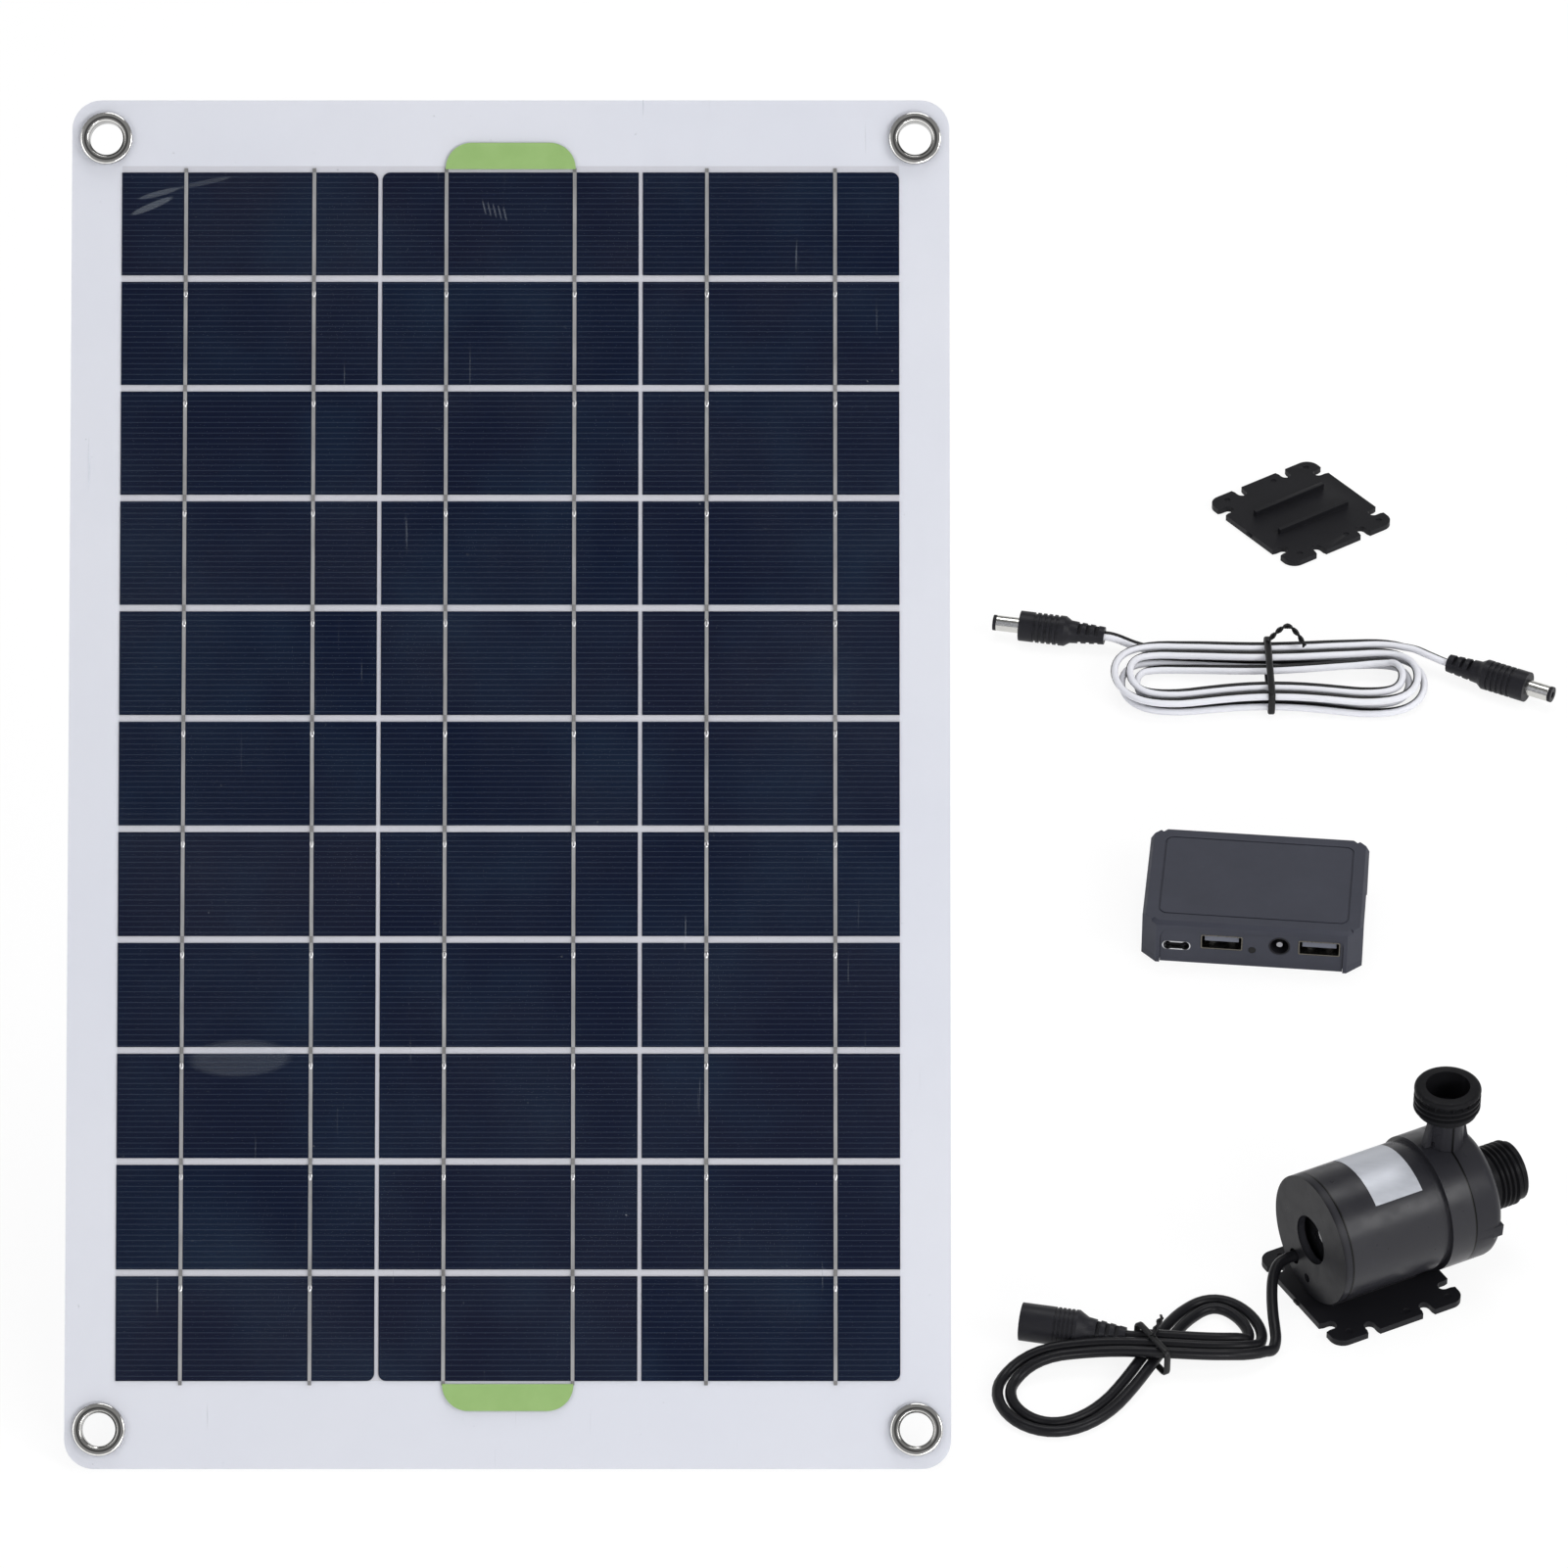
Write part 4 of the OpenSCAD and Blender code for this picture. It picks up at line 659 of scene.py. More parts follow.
def rolled_nickel():
    material, shader, at = start_on_panel("rolled_nickel")
    tree = at.id_data
    across, up, _ = parts_of(at)
    x = maths("SUBTRACT", maths("ABSOLUTE", across), EYELET_X)
    low, high = (maths("ABSOLUTE", maths("SUBTRACT", up, y)) for y in (EYELET_LOW, EYELET_HIGH))
    flat = add(tree, "ShaderNodeCombineXYZ", X=x, Y=maths("MINIMUM", low, high)).outputs[0]
    radius = add(tree, "ShaderNodeVectorMath", {"operation": "LENGTH"}, Vector=flat).outputs["Value"]
    ramp = add(tree, "ShaderNodeValToRGB", Fac=remap(radius, ROLL_INNER, ROLL_OUTER, 0, 1))
    stops = ramp.color_ramp.elements
    # The ramp paints the roll's reflections: painted shade at both edges, highlights down the flanks, a dull
    # line on the crest.
    stops[0].position, stops[0].color = 0.04, (0.06, 0.06, 0.06, 1)
    stops[1].position, stops[1].color = 0.98, (0.12, 0.12, 0.12, 1)
    for place, level in ROLL_PAINTED_REFLECTION:
        stops.new(place).color = (level, level * 0.99, level * 0.97, 1)
    wear = noise(at, 330, 4)
    # Painted reflection of the roll, mixed with random patches of wear.
    reflection_and_wear = blend(remap(wear, 0.5, 0.75, 0.0, 0.35), ramp.outputs["Color"], (0.48, 0.475, 0.465))
    fill(shader, Base_Color=reflection_and_wear, Roughness=uneven(wear, 0.08, 0.18), Metallic=1.0)
    add_bump(shader, noise(at, 240, 3), 1.5e-5)
    return material


eyelet_metal = rolled_nickel()
print("rolled nickel made, with", len(ROLL_PAINTED_REFLECTION) + 2, "stops across the roll")

# %% Eyelets and junction box
for node in ("eyelets", "eyelet_washers"):
    dress(node, eyelet_metal, radius=0.12)
for node, radius in (("junction_box", 0.5), ("junction_lid", 0.5), ("junction_socket", 0.2)):
    dress(node, plug_plastic, radius=radius)
paint({"junction_pin": barrel_nickel})

# %% [markdown]
# ## Battery box
# A two-part moulding in slate grey with an inset port panel. The edges carry the look: a larger radius
# on the cover, a small one on the panel and its openings. The rectangular sockets show two tinned
# contacts each, low in their mouth, which are small plates placed from the socket's own middle.

# %% Battery box
dress("bank_cover", box_plastic, radius=0.35, segments=3)
dress("bank_base", box_plastic, radius=0.3)
dress("port_panel", port_plastic, radius=0.15)
for side in ("left", "right"):
    dress(side + "_socket", shell_bronze, radius=0.08)
dress("oval_socket", tinned_sheet, radius=0.08)
dress("bank_jack", plug_plastic, radius=0.25)
dress("indicator_lens", smoked_lens, radius=0.15)
paint({
    "socket_tongues": tongue_grey, "oval_tongue": port_black, "bank_jack_pin": core_steel,
    "battery_pouch": pouch_foil, "charge_board": circuit_green,
})

# %% Contacts in the sockets
BANK = Matrix.Translation(Vector((-24, 189, 0)) * MM) @ Matrix.Rotation(math.radians(-6), 4, "Z")
PORT_FRONT, PORT_HIGH = -25.7, 8.85
SOCKET_MIDDLES = {"left": -9.9, "right": 22.3}
CONTACT_PLACES = {"a": -3.0, "b": 3.3}
CONTACT_HALF, CONTACT_LOW, CONTACT_TOP = 0.9, -2.0, -0.4
CONTACT_BACK, CONTACT_FRONT = -12.55, -4.5
for side, x in SOCKET_MIDDLES.items():
    middle = Matrix.Translation(Vector((x, PORT_FRONT, PORT_HIGH)) * MM)
    mouth = BANK @ middle @ Matrix.Rotation(math.radians(90), 4, "X")
    for tag, at in CONTACT_PLACES.items():
        left, right = at - CONTACT_HALF, at + CONTACT_HALF
        outline = [(left, CONTACT_LOW), (right, CONTACT_LOW), (right, CONTACT_TOP), (left, CONTACT_TOP)]
        name = side + "_contact_" + tag
        flat_piece(name, outline, CONTACT_BACK, CONTACT_FRONT, mouth, tinned_sheet, "tin")

# %% [markdown]
# ## Base plates
# The pump's plate and the spare are the same moulding, seen from above with two ribs and slotted edges.
# Both take the same finish and the same edge radius, so a loop dresses them.

# %% Base plates
for node in ("pump_base", "spare_base"):
    plate = dress(node, plate_plastic, radius=0.35, segments=3)
    print(plate.name, "faces", len(plate.data.polygons))

# %% [markdown]
# ## Pump plastic
# The pump is moulded in dark satin plastic. Where two mouldings meet, the shade in the narrow gap is
# painted as a fine dark line. The material measures how far along the pump's axis a point lies, and paints
# shade on the two joints, behind the head and in front of the rear cap, and on the face of the cap. The
# housing is the shiniest, the head and the cap are duller, and the two pipe ends are the dullest.

# %% Pump finish
CAP_JOINT, HEAD_JOINT = 3.0 * MM, 47.0 * MM
JOINT_HALF, JOINT_FADE = 0.22 * MM, 0.5 * MM
FACE_FULL, FACE_FADE = 0.2 * MM, 1.2 * MM


def pump_finish(name, colour, gleam):
    material = moulded(name, colour, 0.33, scuff=0.10, gleam=gleam)
    tree = material.node_tree
    shader = tree.nodes["Principled BSDF"]
    start = tuple(PUMP.translation)
    along = parts_of(mapped(own_coords(tree), start, (0, 0, PUMP_YAW), kind="TEXTURE"))[0]
    # Painted shade: a fine dark line along the narrow gap of each joint.
    line = 0.0
    for joint in (CAP_JOINT, HEAD_JOINT):
        away = maths("ABSOLUTE", maths("SUBTRACT", along, joint))
        line = maths("ADD", line, remap(away, JOINT_HALF, JOINT_FADE, 1.0, 0.0), clamp=True)
    # Painted shade on the face of the rear cap.
    face = remap(along, FACE_FULL, FACE_FADE, 0.6, 0.0)
    plain = shader.inputs["Base Color"].links[0].from_socket
    plain = blend(face, plain, (0.003, 0.003, 0.004))
    fill(shader, Base_Color=blend(line, plain, (0.002, 0.002, 0.002)))
    return material


pump_plastic = pump_finish("pump_plastic", (0.021, 0.021, 0.026), 0.32)
end_plastic = pump_finish("end_plastic", (0.027, 0.027, 0.032), 0.12)
pipe_plastic = moulded("pipe_plastic", (0.0095, 0.0095, 0.011), 0.42, scuff=0.05, gleam=0.08)
print("materials so far", len(bpy.data.materials))

# %% [markdown]
# ## Pump body
# The body is a row of turned forms on one axis. The dressed copies keep them and add the edge radii.
# The pipe ends are plain in the solid, at the diameter of the thread's crests, so the copy of the head
# first draws them in to the root of the thread. The outlet keeps a plain band, whose rim is rounded: it
# is cut at a few heights, and the new points are moved in along a quarter circle.

# %% Shapes of the pipe ends
CREST, ROOT, REACH, SLACK = 10.45, 9.55, 0.1, 0.01
INLET_FROM, INLET_TO, INLET_NECK = 63.0, 74.0, 0.9
OUTLET_STATION = 47.7
OUTLET_TOP, OUTLET_LOW, OUTLET_BAND, OUTLET_ROUND = 43.5, 34.2, 1.5, 1.2
BAND_LOW, BAND_STEP = OUTLET_TOP - OUTLET_BAND, 0.4
ROUND_ANGLES = (64, 40, 19, 0)


def cut_outlet(solid, back):
    rounding = [OUTLET_TOP - OUTLET_ROUND * (1 - math.sin(math.radians(a))) for a in ROUND_ANGLES]
    for level in (*rounding, BAND_LOW, BAND_LOW - BAND_STEP):
        collar = [
            face for face in solid.faces
            if min((back @ v.co).z for v in face.verts) > (OUTLET_LOW - REACH) * MM
        ]
        parts = {v for face in collar for v in face.verts} | {e for face in collar for e in face.edges}
        bmesh.ops.bisect_plane(
            solid, geom=list(parts) + collar, dist=1e-7,
            plane_co=on_pump(OUTLET_STATION, 0, level), plane_no=(0, 0, 1),
        )


def drawn_in(at):
    """Where a point of the head goes, in millimetres of the pump's frame."""
    off_inlet = Vector((0, at.y, at.z))
    off_outlet = Vector((at.x - OUTLET_STATION, at.y, 0))
    if at.x > INLET_FROM - INLET_NECK and ROOT < off_inlet.length < CREST + REACH:
        return at - off_inlet * (1 - ROOT / off_inlet.length)
    on_thread = OUTLET_LOW - REACH < at.z < BAND_LOW - BAND_STEP + REACH
    if on_thread and ROOT < off_outlet.length < CREST + REACH:
        return at - off_outlet * (1 - ROOT / off_outlet.length)
    if at.z > OUTLET_TOP - OUTLET_ROUND + SLACK and off_outlet.length > CREST - REACH:
        part = min(1.0, (at.z - OUTLET_TOP + OUTLET_ROUND) / OUTLET_ROUND)
        return at - off_outlet * OUTLET_ROUND * (1 - math.sqrt(1 - part * part)) / off_outlet.length
    return at

# %% Pump body
# Where the dull finish of the pipe ends starts, along the axis and up
INLET_DULL, OUTLET_DULL = INLET_FROM - 0.95, OUTLET_LOW - 0.9


def head_with_thread_roots():
    mesh, solid = copy_solid("pump_head", "pump_head_dressed")
    back = PUMP.inverted()
    cut_outlet(solid, back)
    for vertex in solid.verts:
        at = (back @ vertex.co) / MM
        to = drawn_in(at)
        if to is not at:
            vertex.co = PUMP @ (to * MM)
    finish_copy(mesh, solid, end_plastic, "pump_head", radius=0.22)
    mesh.materials.append(pipe_plastic)
    for face in mesh.polygons:
        at = (back @ face.center) / MM
        face.material_index = int(at.x > INLET_DULL or at.z > OUTLET_DULL)
    print("head faces", len(mesh.polygons))


dress("motor_housing", pump_plastic, radius=0.3)
dress("rear_cap", end_plastic, radius=0.4, segments=3)
head_with_thread_roots()
paint({
    "potting": cast_resin, "drive_board": circuit_green, "board_components": plug_plastic,
    "rotor_can": can_plastic, "stator_core": core_steel, "stator_coils": coil_copper,
    "shaft": shaft_ceramic, "thrust_washers": shaft_ceramic, "rotor_magnet": magnet_black,
    "impeller": pump_inner, "rotor_bushes": plug_plastic, "o_ring": seal_rubber,
    "cord_gland": seal_rubber,
})

# %% [markdown]
# ## Pipe threads
# A thread is a ridge that follows a helix, which Geometry Nodes can draw in three steps: a spiral, a
# trapezoid as its section, and Curve to Mesh. The section is turned so that its narrow side points
# outwards, and its scale fades at both ends, as a moulded thread does.

# %% Thread tree
PITCH, THREAD_SHARP = 1.8, 28
# Width of the ridge at its foot and its crest as shares of the pitch, and its middle as a share of the depth
RIDGE_FOOT, RIDGE_CREST, RIDGE_MIDDLE = 0.92, 0.30, 0.48
FADE_PART, FADE_TO = 0.06, 0.1


def thread_tree(material):
    tree, given, sockets = new_tree("helical_thread", {
        "Turns": 5.0,
        "Pitch": PITCH * MM,
        "Root Radius": ROOT * MM,
        "Depth": (CREST - ROOT) * MM,
        "Steps": 64,
    })
    spiral = add(
        tree, "GeometryNodeCurveSpiral", Resolution=given["Steps"], Rotations=given["Turns"], Reverse=True,
        Start_Radius=given["Root Radius"], End_Radius=given["Root Radius"],
        Height=maths("MULTIPLY", given["Turns"], given["Pitch"]),
    )
    level = add(tree, "GeometryNodeSetCurveNormal", {"mode": "Z_UP"}, Curve=spiral.outputs[0])
    section = add(
        tree, "GeometryNodeCurvePrimitiveQuadrilateral", {"mode": "TRAPEZOID"},
        Offset=0.0, Height=given["Depth"],
        Bottom_Width=maths("MULTIPLY", given["Pitch"], RIDGE_FOOT),
        Top_Width=maths("MULTIPLY", given["Pitch"], RIDGE_CREST),
    )
    outward = add(tree, "ShaderNodeCombineXYZ", X=maths("MULTIPLY", given["Depth"], RIDGE_MIDDLE))
    turned = add(
        tree, "GeometryNodeTransform", Geometry=section.outputs[0],
        Translation=outward.outputs[0], Rotation=(0, 0, -math.pi / 2),
    )
    place = add(tree, "GeometryNodeSplineParameter").outputs["Factor"]
    start = remap(place, 0.0, FADE_PART, FADE_TO, 1.0)
    end = remap(place, 1 - FADE_PART, 1.0, 1.0, FADE_TO)
    ridge = add(
        tree, "GeometryNodeCurveToMesh", Curve=level.outputs[0], Profile_Curve=turned.outputs[0],
        Scale=maths("MINIMUM", start, end), Fill_Caps=True,
    )
    end_tree(tree, ridge.outputs[0], material)
    return tree, sockets


threads = thread_tree(pipe_plastic)
print("thread tree has", len(threads[0].nodes), "nodes")

# %% Inlet and outlet threads
PLAIN_TIP = 0.6
inlet_turns = (INLET_TO - INLET_FROM - PLAIN_TIP - PITCH) / PITCH
outlet_turns = (BAND_LOW - BAND_STEP - OUTLET_LOW - PITCH * 0.5) / PITCH
along_axis = Matrix.Rotation(math.pi / 2, 4, "Y")
for name, turns, start, turn in (
    ("inlet_thread", inlet_turns, (INLET_FROM + PITCH / 2, 0, 0), along_axis),
    ("outlet_thread", outlet_turns, (OUTLET_STATION, 0, OUTLET_LOW + PITCH * 0.4), Matrix.Identity(4)),
):
    place = PUMP @ Matrix.Translation(Vector(start) * MM) @ turn
    grown(name, *threads, {"Turns": turns}, pipe_plastic, "pump_grey", place, THREAD_SHARP)

# %% [markdown]
# ## Bare sticker
# A plain silver-white sticker is wrapped round the top of the housing. A strip of the cylinder a little
# outside the housing is given its thickness, and the foil gets a faint brushed sheen.

# %% Bare sticker
STICKER_GAP, STICKER_T, STICKER_SHARP = 0.02, 0.1, 30
STICKER_STATIONS, STICKER_ANGLES, STICKER_STEPS = (15.2, 32.0), (-38, 37), 24


def sticker_finish():
    material, shader, at = start_material("sticker_foil")
    brushed = noise(mapped(at, rotation=(0, 0, -PUMP_YAW), scale=(0.2, 1, 1)), 900, 3)
    wear = noise(at, 140, 4)
    base = blend(brushed, (0.47, 0.49, 0.54), (0.56, 0.58, 0.63))
    base = blend(remap(wear, 0.55, 0.8, 0.0, 0.5), base, (0.40, 0.42, 0.47))
    fill(shader, Base_Color=base, Roughness=uneven(brushed, 0.3, 0.45), Metallic=0.25)
    return material


def wrapped_strip(name, material, slot):
    """A closed strip round the pump's axis. Angles go from the top towards the photographed side."""
    solid = bmesh.new()
    first, last = STICKER_ANGLES
    low, high = STICKER_STATIONS
    inner = BODY_R + STICKER_GAP
    outer = inner + STICKER_T
    rings = []
    for k in range(STICKER_STEPS + 1):
        a = math.radians(first + (last - first) * k / STICKER_STEPS)
        corners = [(low, inner), (high, inner), (high, outer), (low, outer)]
        rings.append([solid.verts.new(on_pump(x, -r * math.sin(a), r * math.cos(a))) for x, r in corners])
    skin(solid, rings)
    built(name, solid, slot, material, sharp=STICKER_SHARP)


wrapped_strip("housing_sticker", sticker_finish(), "pale")

# %% [markdown]
# ## Paths of the cords
# A cord is a centreline with a section on it. A Catmull-Rom curve passes smoothly through points that
# are listed, and a formula gives the loops of a bundle, so both kinds of path need a few helpers.

# %% Path helpers
def through(points, fine):
    """A Catmull-Rom curve through points, with a given number of steps between neighbours."""
    path = []
    for k in range(len(points) - 1):
        p0 = points[max(k - 1, 0)]
        p1, p2 = points[k], points[k + 1]
        p3 = points[min(k + 2, len(points) - 1)]
        for step in range(fine):
            t = step / fine
            path.append(
                0.5 * (2 * p1 + (p2 - p0) * t + (2 * p0 - 5 * p1 + 4 * p2 - p3) * t * t
                       + (3 * p1 - p0 - 3 * p2 + p3) * t**3)
            )
    path.append(points[-1].copy())
    return path


def ease(x):
    c = min(1.0, max(0.0, x))
    return c * c * (3 - 2 * c)


def length_of(path):
    return sum((b - a).length for a, b in zip(path, path[1:]))


def heading(yaw):
    return Vector((math.cos(yaw), math.sin(yaw), 0))


def across_and_up(path, k):
    """Two unit vectors square to a path at one of its points: level across it, and up."""
    ahead = (path[min(k + 1, len(path) - 1)] - path[max(k - 1, 0)]).normalized()
    side = ahead.cross(Vector((0, 0, 1))).normalized()
    return side, side.cross(ahead)


# A cord is lifted where it crosses the tie below it, and goes on a little inside the piece on its end
TIE_T, TIE_W, TIE_SEAT, TIE_BEND = 0.9, 2.4, 0.1, 1.2
TIE_LIFT, INSIDE = TIE_T + TIE_SEAT, 1.0
print("cords lie", TIE_LIFT, "mm up where they cross a tie")

# %% [markdown]
# ## Pump cord
# The cord is a fixed length of round sheath. It leaves the rear cap, drops to the floor and lies in a
# tied figure of eight, whose passes from the pump to the socket ride on top. The loops follow the same
# formula as in the solids, with more points, and the run from the cap is a little straighter. A curve
# with a round bevel is all that a plain sheath needs.

# %% Route of the pump cord
CORD_D = 3.6
CORD_STEP = CORD_D + 0.5
CORD_AT, CORD_TURN = (-67.0, -38.0), math.radians(30)
CORD_START, CORD_MIDDLE, CORD_END, CORD_STEPS = 40.0, 450.0, 812.0, 170
EIGHT_LONG, EIGHT_LEAN, EIGHT_WIDE, EIGHT_TAPER = 44, 8, 29, 0.146
CORD_LIFT_HALF, CROSS_FROM, CROSS_OVER = 22, 0.45, 0.45
CORD_EXIT, EXIT_STRAIGHT = (1.0, 8.9, -12.8), 4
SOCKET_AT, SOCKET_YAW = Vector((-75, -33.2, 6.05)), math.radians(168)
SOCKET_STRAIGHT = 0.6 * CORD_D
RUN_POINTS = [
    (-26.8, -5.2, 11.0), (-28.4, -9.6, 9.2), (-28.9, -15.6, 7.0),
    (-28.8, -21.8, 5.0), (-28.4, -27.6, 3.5), (-28.4, -31.6, 2.8),
]


def cord_point(degrees):
    w = math.radians(degrees)
    s, c = math.sin(w), math.cos(w)
    taper = 1 - EIGHT_TAPER * c
    flat = Vector((EIGHT_LONG * c - EIGHT_LEAN * c * c, -EIGHT_WIDE * taper * s * c))
    slope = Vector((
        -EIGHT_LONG * s + 2 * EIGHT_LEAN * c * s,
        -EIGHT_WIDE * (taper * math.cos(2 * w) + EIGHT_TAPER * s * s * c),
    )).normalized()
    flat += CORD_STEP * (degrees - CORD_MIDDLE) / 360 * Vector((slope.y, -slope.x))
    lift = TIE_LIFT * max(0.0, 1 - (flat.x / CORD_LIFT_HALF) ** 2)
    high = CORD_D / 2 + lift + CORD_STEP * ease((s - CROSS_FROM) / CROSS_OVER)
    flat = Matrix.Rotation(CORD_TURN, 2) @ flat
    return Vector((CORD_AT[0] + flat.x, CORD_AT[1] + flat.y, high))


def pump_cord_path():
    sweep = CORD_END - CORD_START
    loops = [cord_point(CORD_START + sweep * k / CORD_STEPS) for k in range(CORD_STEPS + 1)]
    exit_at = on_pump(*CORD_EXIT) / MM
    into = (loops[1] - loops[0]).normalized()
    run = [exit_at, exit_at - EXIT_STRAIGHT * heading(PUMP_YAW), *map(Vector, RUN_POINTS)]
    run += [loops[0] - CORD_D * into, loops[0]]
    axis = heading(SOCKET_YAW)
    tail = [loops[-1], SOCKET_AT - SOCKET_STRAIGHT * axis, SOCKET_AT + INSIDE * axis]
    path = through(run, 7)[:-1] + loops[:-1] + through(tail, 3)
    return [p * MM for p in path]


pump_path = pump_cord_path()
print("pump cord length", round(length_of(pump_path), 4))

# %% Pump cord and its socket
def cord_curve(name, path, diameter, material):
    data = bpy.data.curves.new(name, "CURVE")
    data.dimensions = "3D"
    data.bevel_depth = diameter / 2
    data.bevel_resolution = 4
    data.use_fill_caps = True
    spline = data.splines.new("POLY")
    spline.points.add(len(path) - 1)
    for point, at in zip(spline.points, path):
        point.co = (*at, 1)
    spline.use_smooth = True
    data.materials.append(material)
    return data


cord_data = cord_curve("pump_cord", pump_path, CORD_D * MM, cord_sheath)
pump_cord = keep_piece("pump_cord", cord_data, ["pump_cord_run", "pump_cord_hank"])
cord_socket = dress("socket_moulding", plug_plastic, radius=0.3)
cord_sleeve = dress("socket_sleeve", barrel_nickel, radius=0.1)
paint({"socket_pin": barrel_nickel})

# %% [markdown]
# ## Twin lead
# The lead is two strands moulded side by side, a white one and a black one. It rolls as it goes round:
# along the two long sides the white strand lies to the front, and at the two ends it stands on the
# black one. A curve's bevel cannot do this, so a figure-of-eight section is swept along the path, turned
# by that roll at each point, and each face takes the colour of its strand.

# %% Route of the lead
LEAD_AT = (-12.7, 322.0)
LEAD_W, LEAD_H = 4.8, 2.4
LEAD_STEP, LEAD_LAYER = LEAD_W + 0.5, 4.25
LEAD_START, LEAD_END, LEAD_TURNS, LEAD_STEPS = -25.0, 1498.0, 1440, 330
CLIMB_FROM, CLIMB_OVER, LEAD_LIFT_HALF = 630, 180, 30
BUNDLE_LONG, BUNDLE_WIDE, BUNDLE_WAIST = 55, 36, 0.56
LEAD_TILT, LEAD_SNAP = 8.0, 1.5
LEFT_PLUG, LEFT_YAW = Vector((-69, 346.5, 5.3)), math.radians(168)
RIGHT_PLUG, RIGHT_YAW = Vector((50, 330, 5.3)), math.radians(-29)
PLUG_STRAIGHT = 2
LEFT_RUN = [(-64, 345.5, 4.6), (-58.5, 344.3, 2.8), (-53, 343.2, 1.9), (-47, 341.9, 1.8)]
RIGHT_RUN = [(43, 334, 6.0)]


def lead_roll(a):
    """Turn of the section in radians: 0 has the white strand to the left of the way, 90 degrees on top."""
    lean = math.tanh(LEAD_SNAP * math.cos(math.radians(a))) / math.tanh(LEAD_SNAP)
    return math.radians(90 + (90 - LEAD_TILT) * lean)


def lead_point(a):
    f = math.radians(90 - a)
    s, c = math.sin(f), math.cos(f)
    flat = Vector((BUNDLE_LONG * c, BUNDLE_WIDE * s * (1 - BUNDLE_WAIST * s * s)))
    slope = Vector((-BUNDLE_LONG * s, BUNDLE_WIDE * c * (1 - 3 * BUNDLE_WAIST * s * s))).normalized()
    flat += LEAD_STEP * min(a, LEAD_TURNS - a) / 360 * Vector((-slope.y, slope.x))
    climb = LEAD_LAYER * ease((a - CLIMB_FROM) / CLIMB_OVER)
    lift = TIE_LIFT * max(0.0, 1 - (flat.x / LEAD_LIFT_HALF) ** 2) + LEAD_H / 2 * math.sin(lead_roll(a))
    return Vector((LEAD_AT[0] + flat.x, LEAD_AT[1] + flat.y, LEAD_H / 2 + lift + climb))


def lead_path():
    sweep = LEAD_END - LEAD_START
    angles = [LEAD_START + sweep * k / LEAD_STEPS for k in range(LEAD_STEPS + 1)]
    loops = [lead_point(a) for a in angles]
    into = (loops[1] - loops[0]).normalized()
    away = (loops[-1] - loops[-2]).normalized()
    left, right = heading(LEFT_YAW), heading(RIGHT_YAW)
    first = [LEFT_PLUG + INSIDE * left, LEFT_PLUG - PLUG_STRAIGHT * left, *map(Vector, LEFT_RUN)]
    first += [loops[0] - LEAD_W * into, loops[0]]
    last = [loops[-1], loops[-1] + LEAD_W * away, *map(Vector, RIGHT_RUN)]
    last += [RIGHT_PLUG - PLUG_STRAIGHT * right, RIGHT_PLUG + INSIDE * right]
    first, last = through(first, 5)[:-1], through(last, 5)
    rolls = [lead_roll(a) for a in [LEAD_START] * len(first) + angles[:-1] + [LEAD_END] * len(last)]
    return [p * MM for p in first + loops[:-1] + last], rolls


twin_path, twin_rolls = lead_path()
print("lead length", round(length_of(twin_path), 4))

# %% Twin lead and its plugs
LOBE_R, NOTCH = 1.17, 0.36


def twin_section():
    """Outline of both strands in millimetres, across and up, counter-clockwise from the right tip."""
    middle = LEAD_W / 2 - LOBE_R
    arc = [math.radians(d) for d in range(-150, 151, 25)]
    right = [(middle + LOBE_R * math.cos(a), LOBE_R * math.sin(a)) for a in arc]
    left = [(-x, -y) for x, y in right]
    return [*right, (0, NOTCH), *left, (0, -NOTCH)]


def swept_lead(path, rolls):
    solid = bmesh.new()
    section = twin_section()
    black = [int(p[0] + q[0] > 0) for p, q in zip(section, section[1:] + section[:1])]
    rings = []
    for k, (at, roll) in enumerate(zip(path, rolls)):
        flat, upright = across_and_up(path, k)
        side = flat * math.cos(roll) - upright * math.sin(roll)
        up = flat * math.sin(roll) + upright * math.cos(roll)
        rings.append([solid.verts.new(at + (side * x + up * y) * MM) for x, y in section])
    for face, strand in zip(skin(solid, rings), black * (len(rings) - 1)):
        face.material_index = strand
    solids = ["lead_run_left", "lead_hank", "lead_run_right"]
    return built("twin_lead", solid, "white_cord", strand_white, strand_black, stands_for=solids)


lead = swept_lead(twin_path, twin_rolls)
plugs = [dress(side + "_plug_moulding", plug_plastic, radius=0.2) for side in ("left", "right")]
for side in ("left", "right"):
    dress(side + "_plug_barrel", barrel_nickel, radius=0.12)
    dress(side + "_plug_tip", plug_plastic, radius=0.12)

# %% [markdown]
# ## Ties
# Each bundle is held by a flat plastic-covered wire whose two ends are twisted together. The band goes
# round the bundle as a rounded loop, and the ends wind round each other along the tail. Both are built
# from rings of points, because the band lies flat on the bundle, which a round bevel could not show.

# %% Tie shapes
TAIL_TWIST, TAIL_WIRE, TAIL_SIDES = 0.95, 0.5, 6
BAND_FLAT, BAND_HALF = 0.32 * TIE_W, 0.42
TIE_SECTION = [
    (-TIE_W / 2, 0), (-BAND_FLAT, BAND_HALF), (BAND_FLAT, BAND_HALF),
    (TIE_W / 2, 0), (BAND_FLAT, -BAND_HALF), (-BAND_FLAT, -BAND_HALF),
]


def tie_loop(low, high, top):
    """Centreline of the band in its own plane: across the bundle, and up."""
    points = []
    reach = TIE_BEND + TIE_T / 2
    left, right, under, over = low + TIE_BEND, high - TIE_BEND, TIE_T + TIE_BEND, top - TIE_BEND
    for cx, cy, start in ((right, over, 0), (left, over, 90), (left, under, 180), (right, under, 270)):
        for d in range(0, 91, 15):
            a = math.radians(start + d)
            points.append((cx + reach * math.cos(a), cy + reach * math.sin(a)))
    return points


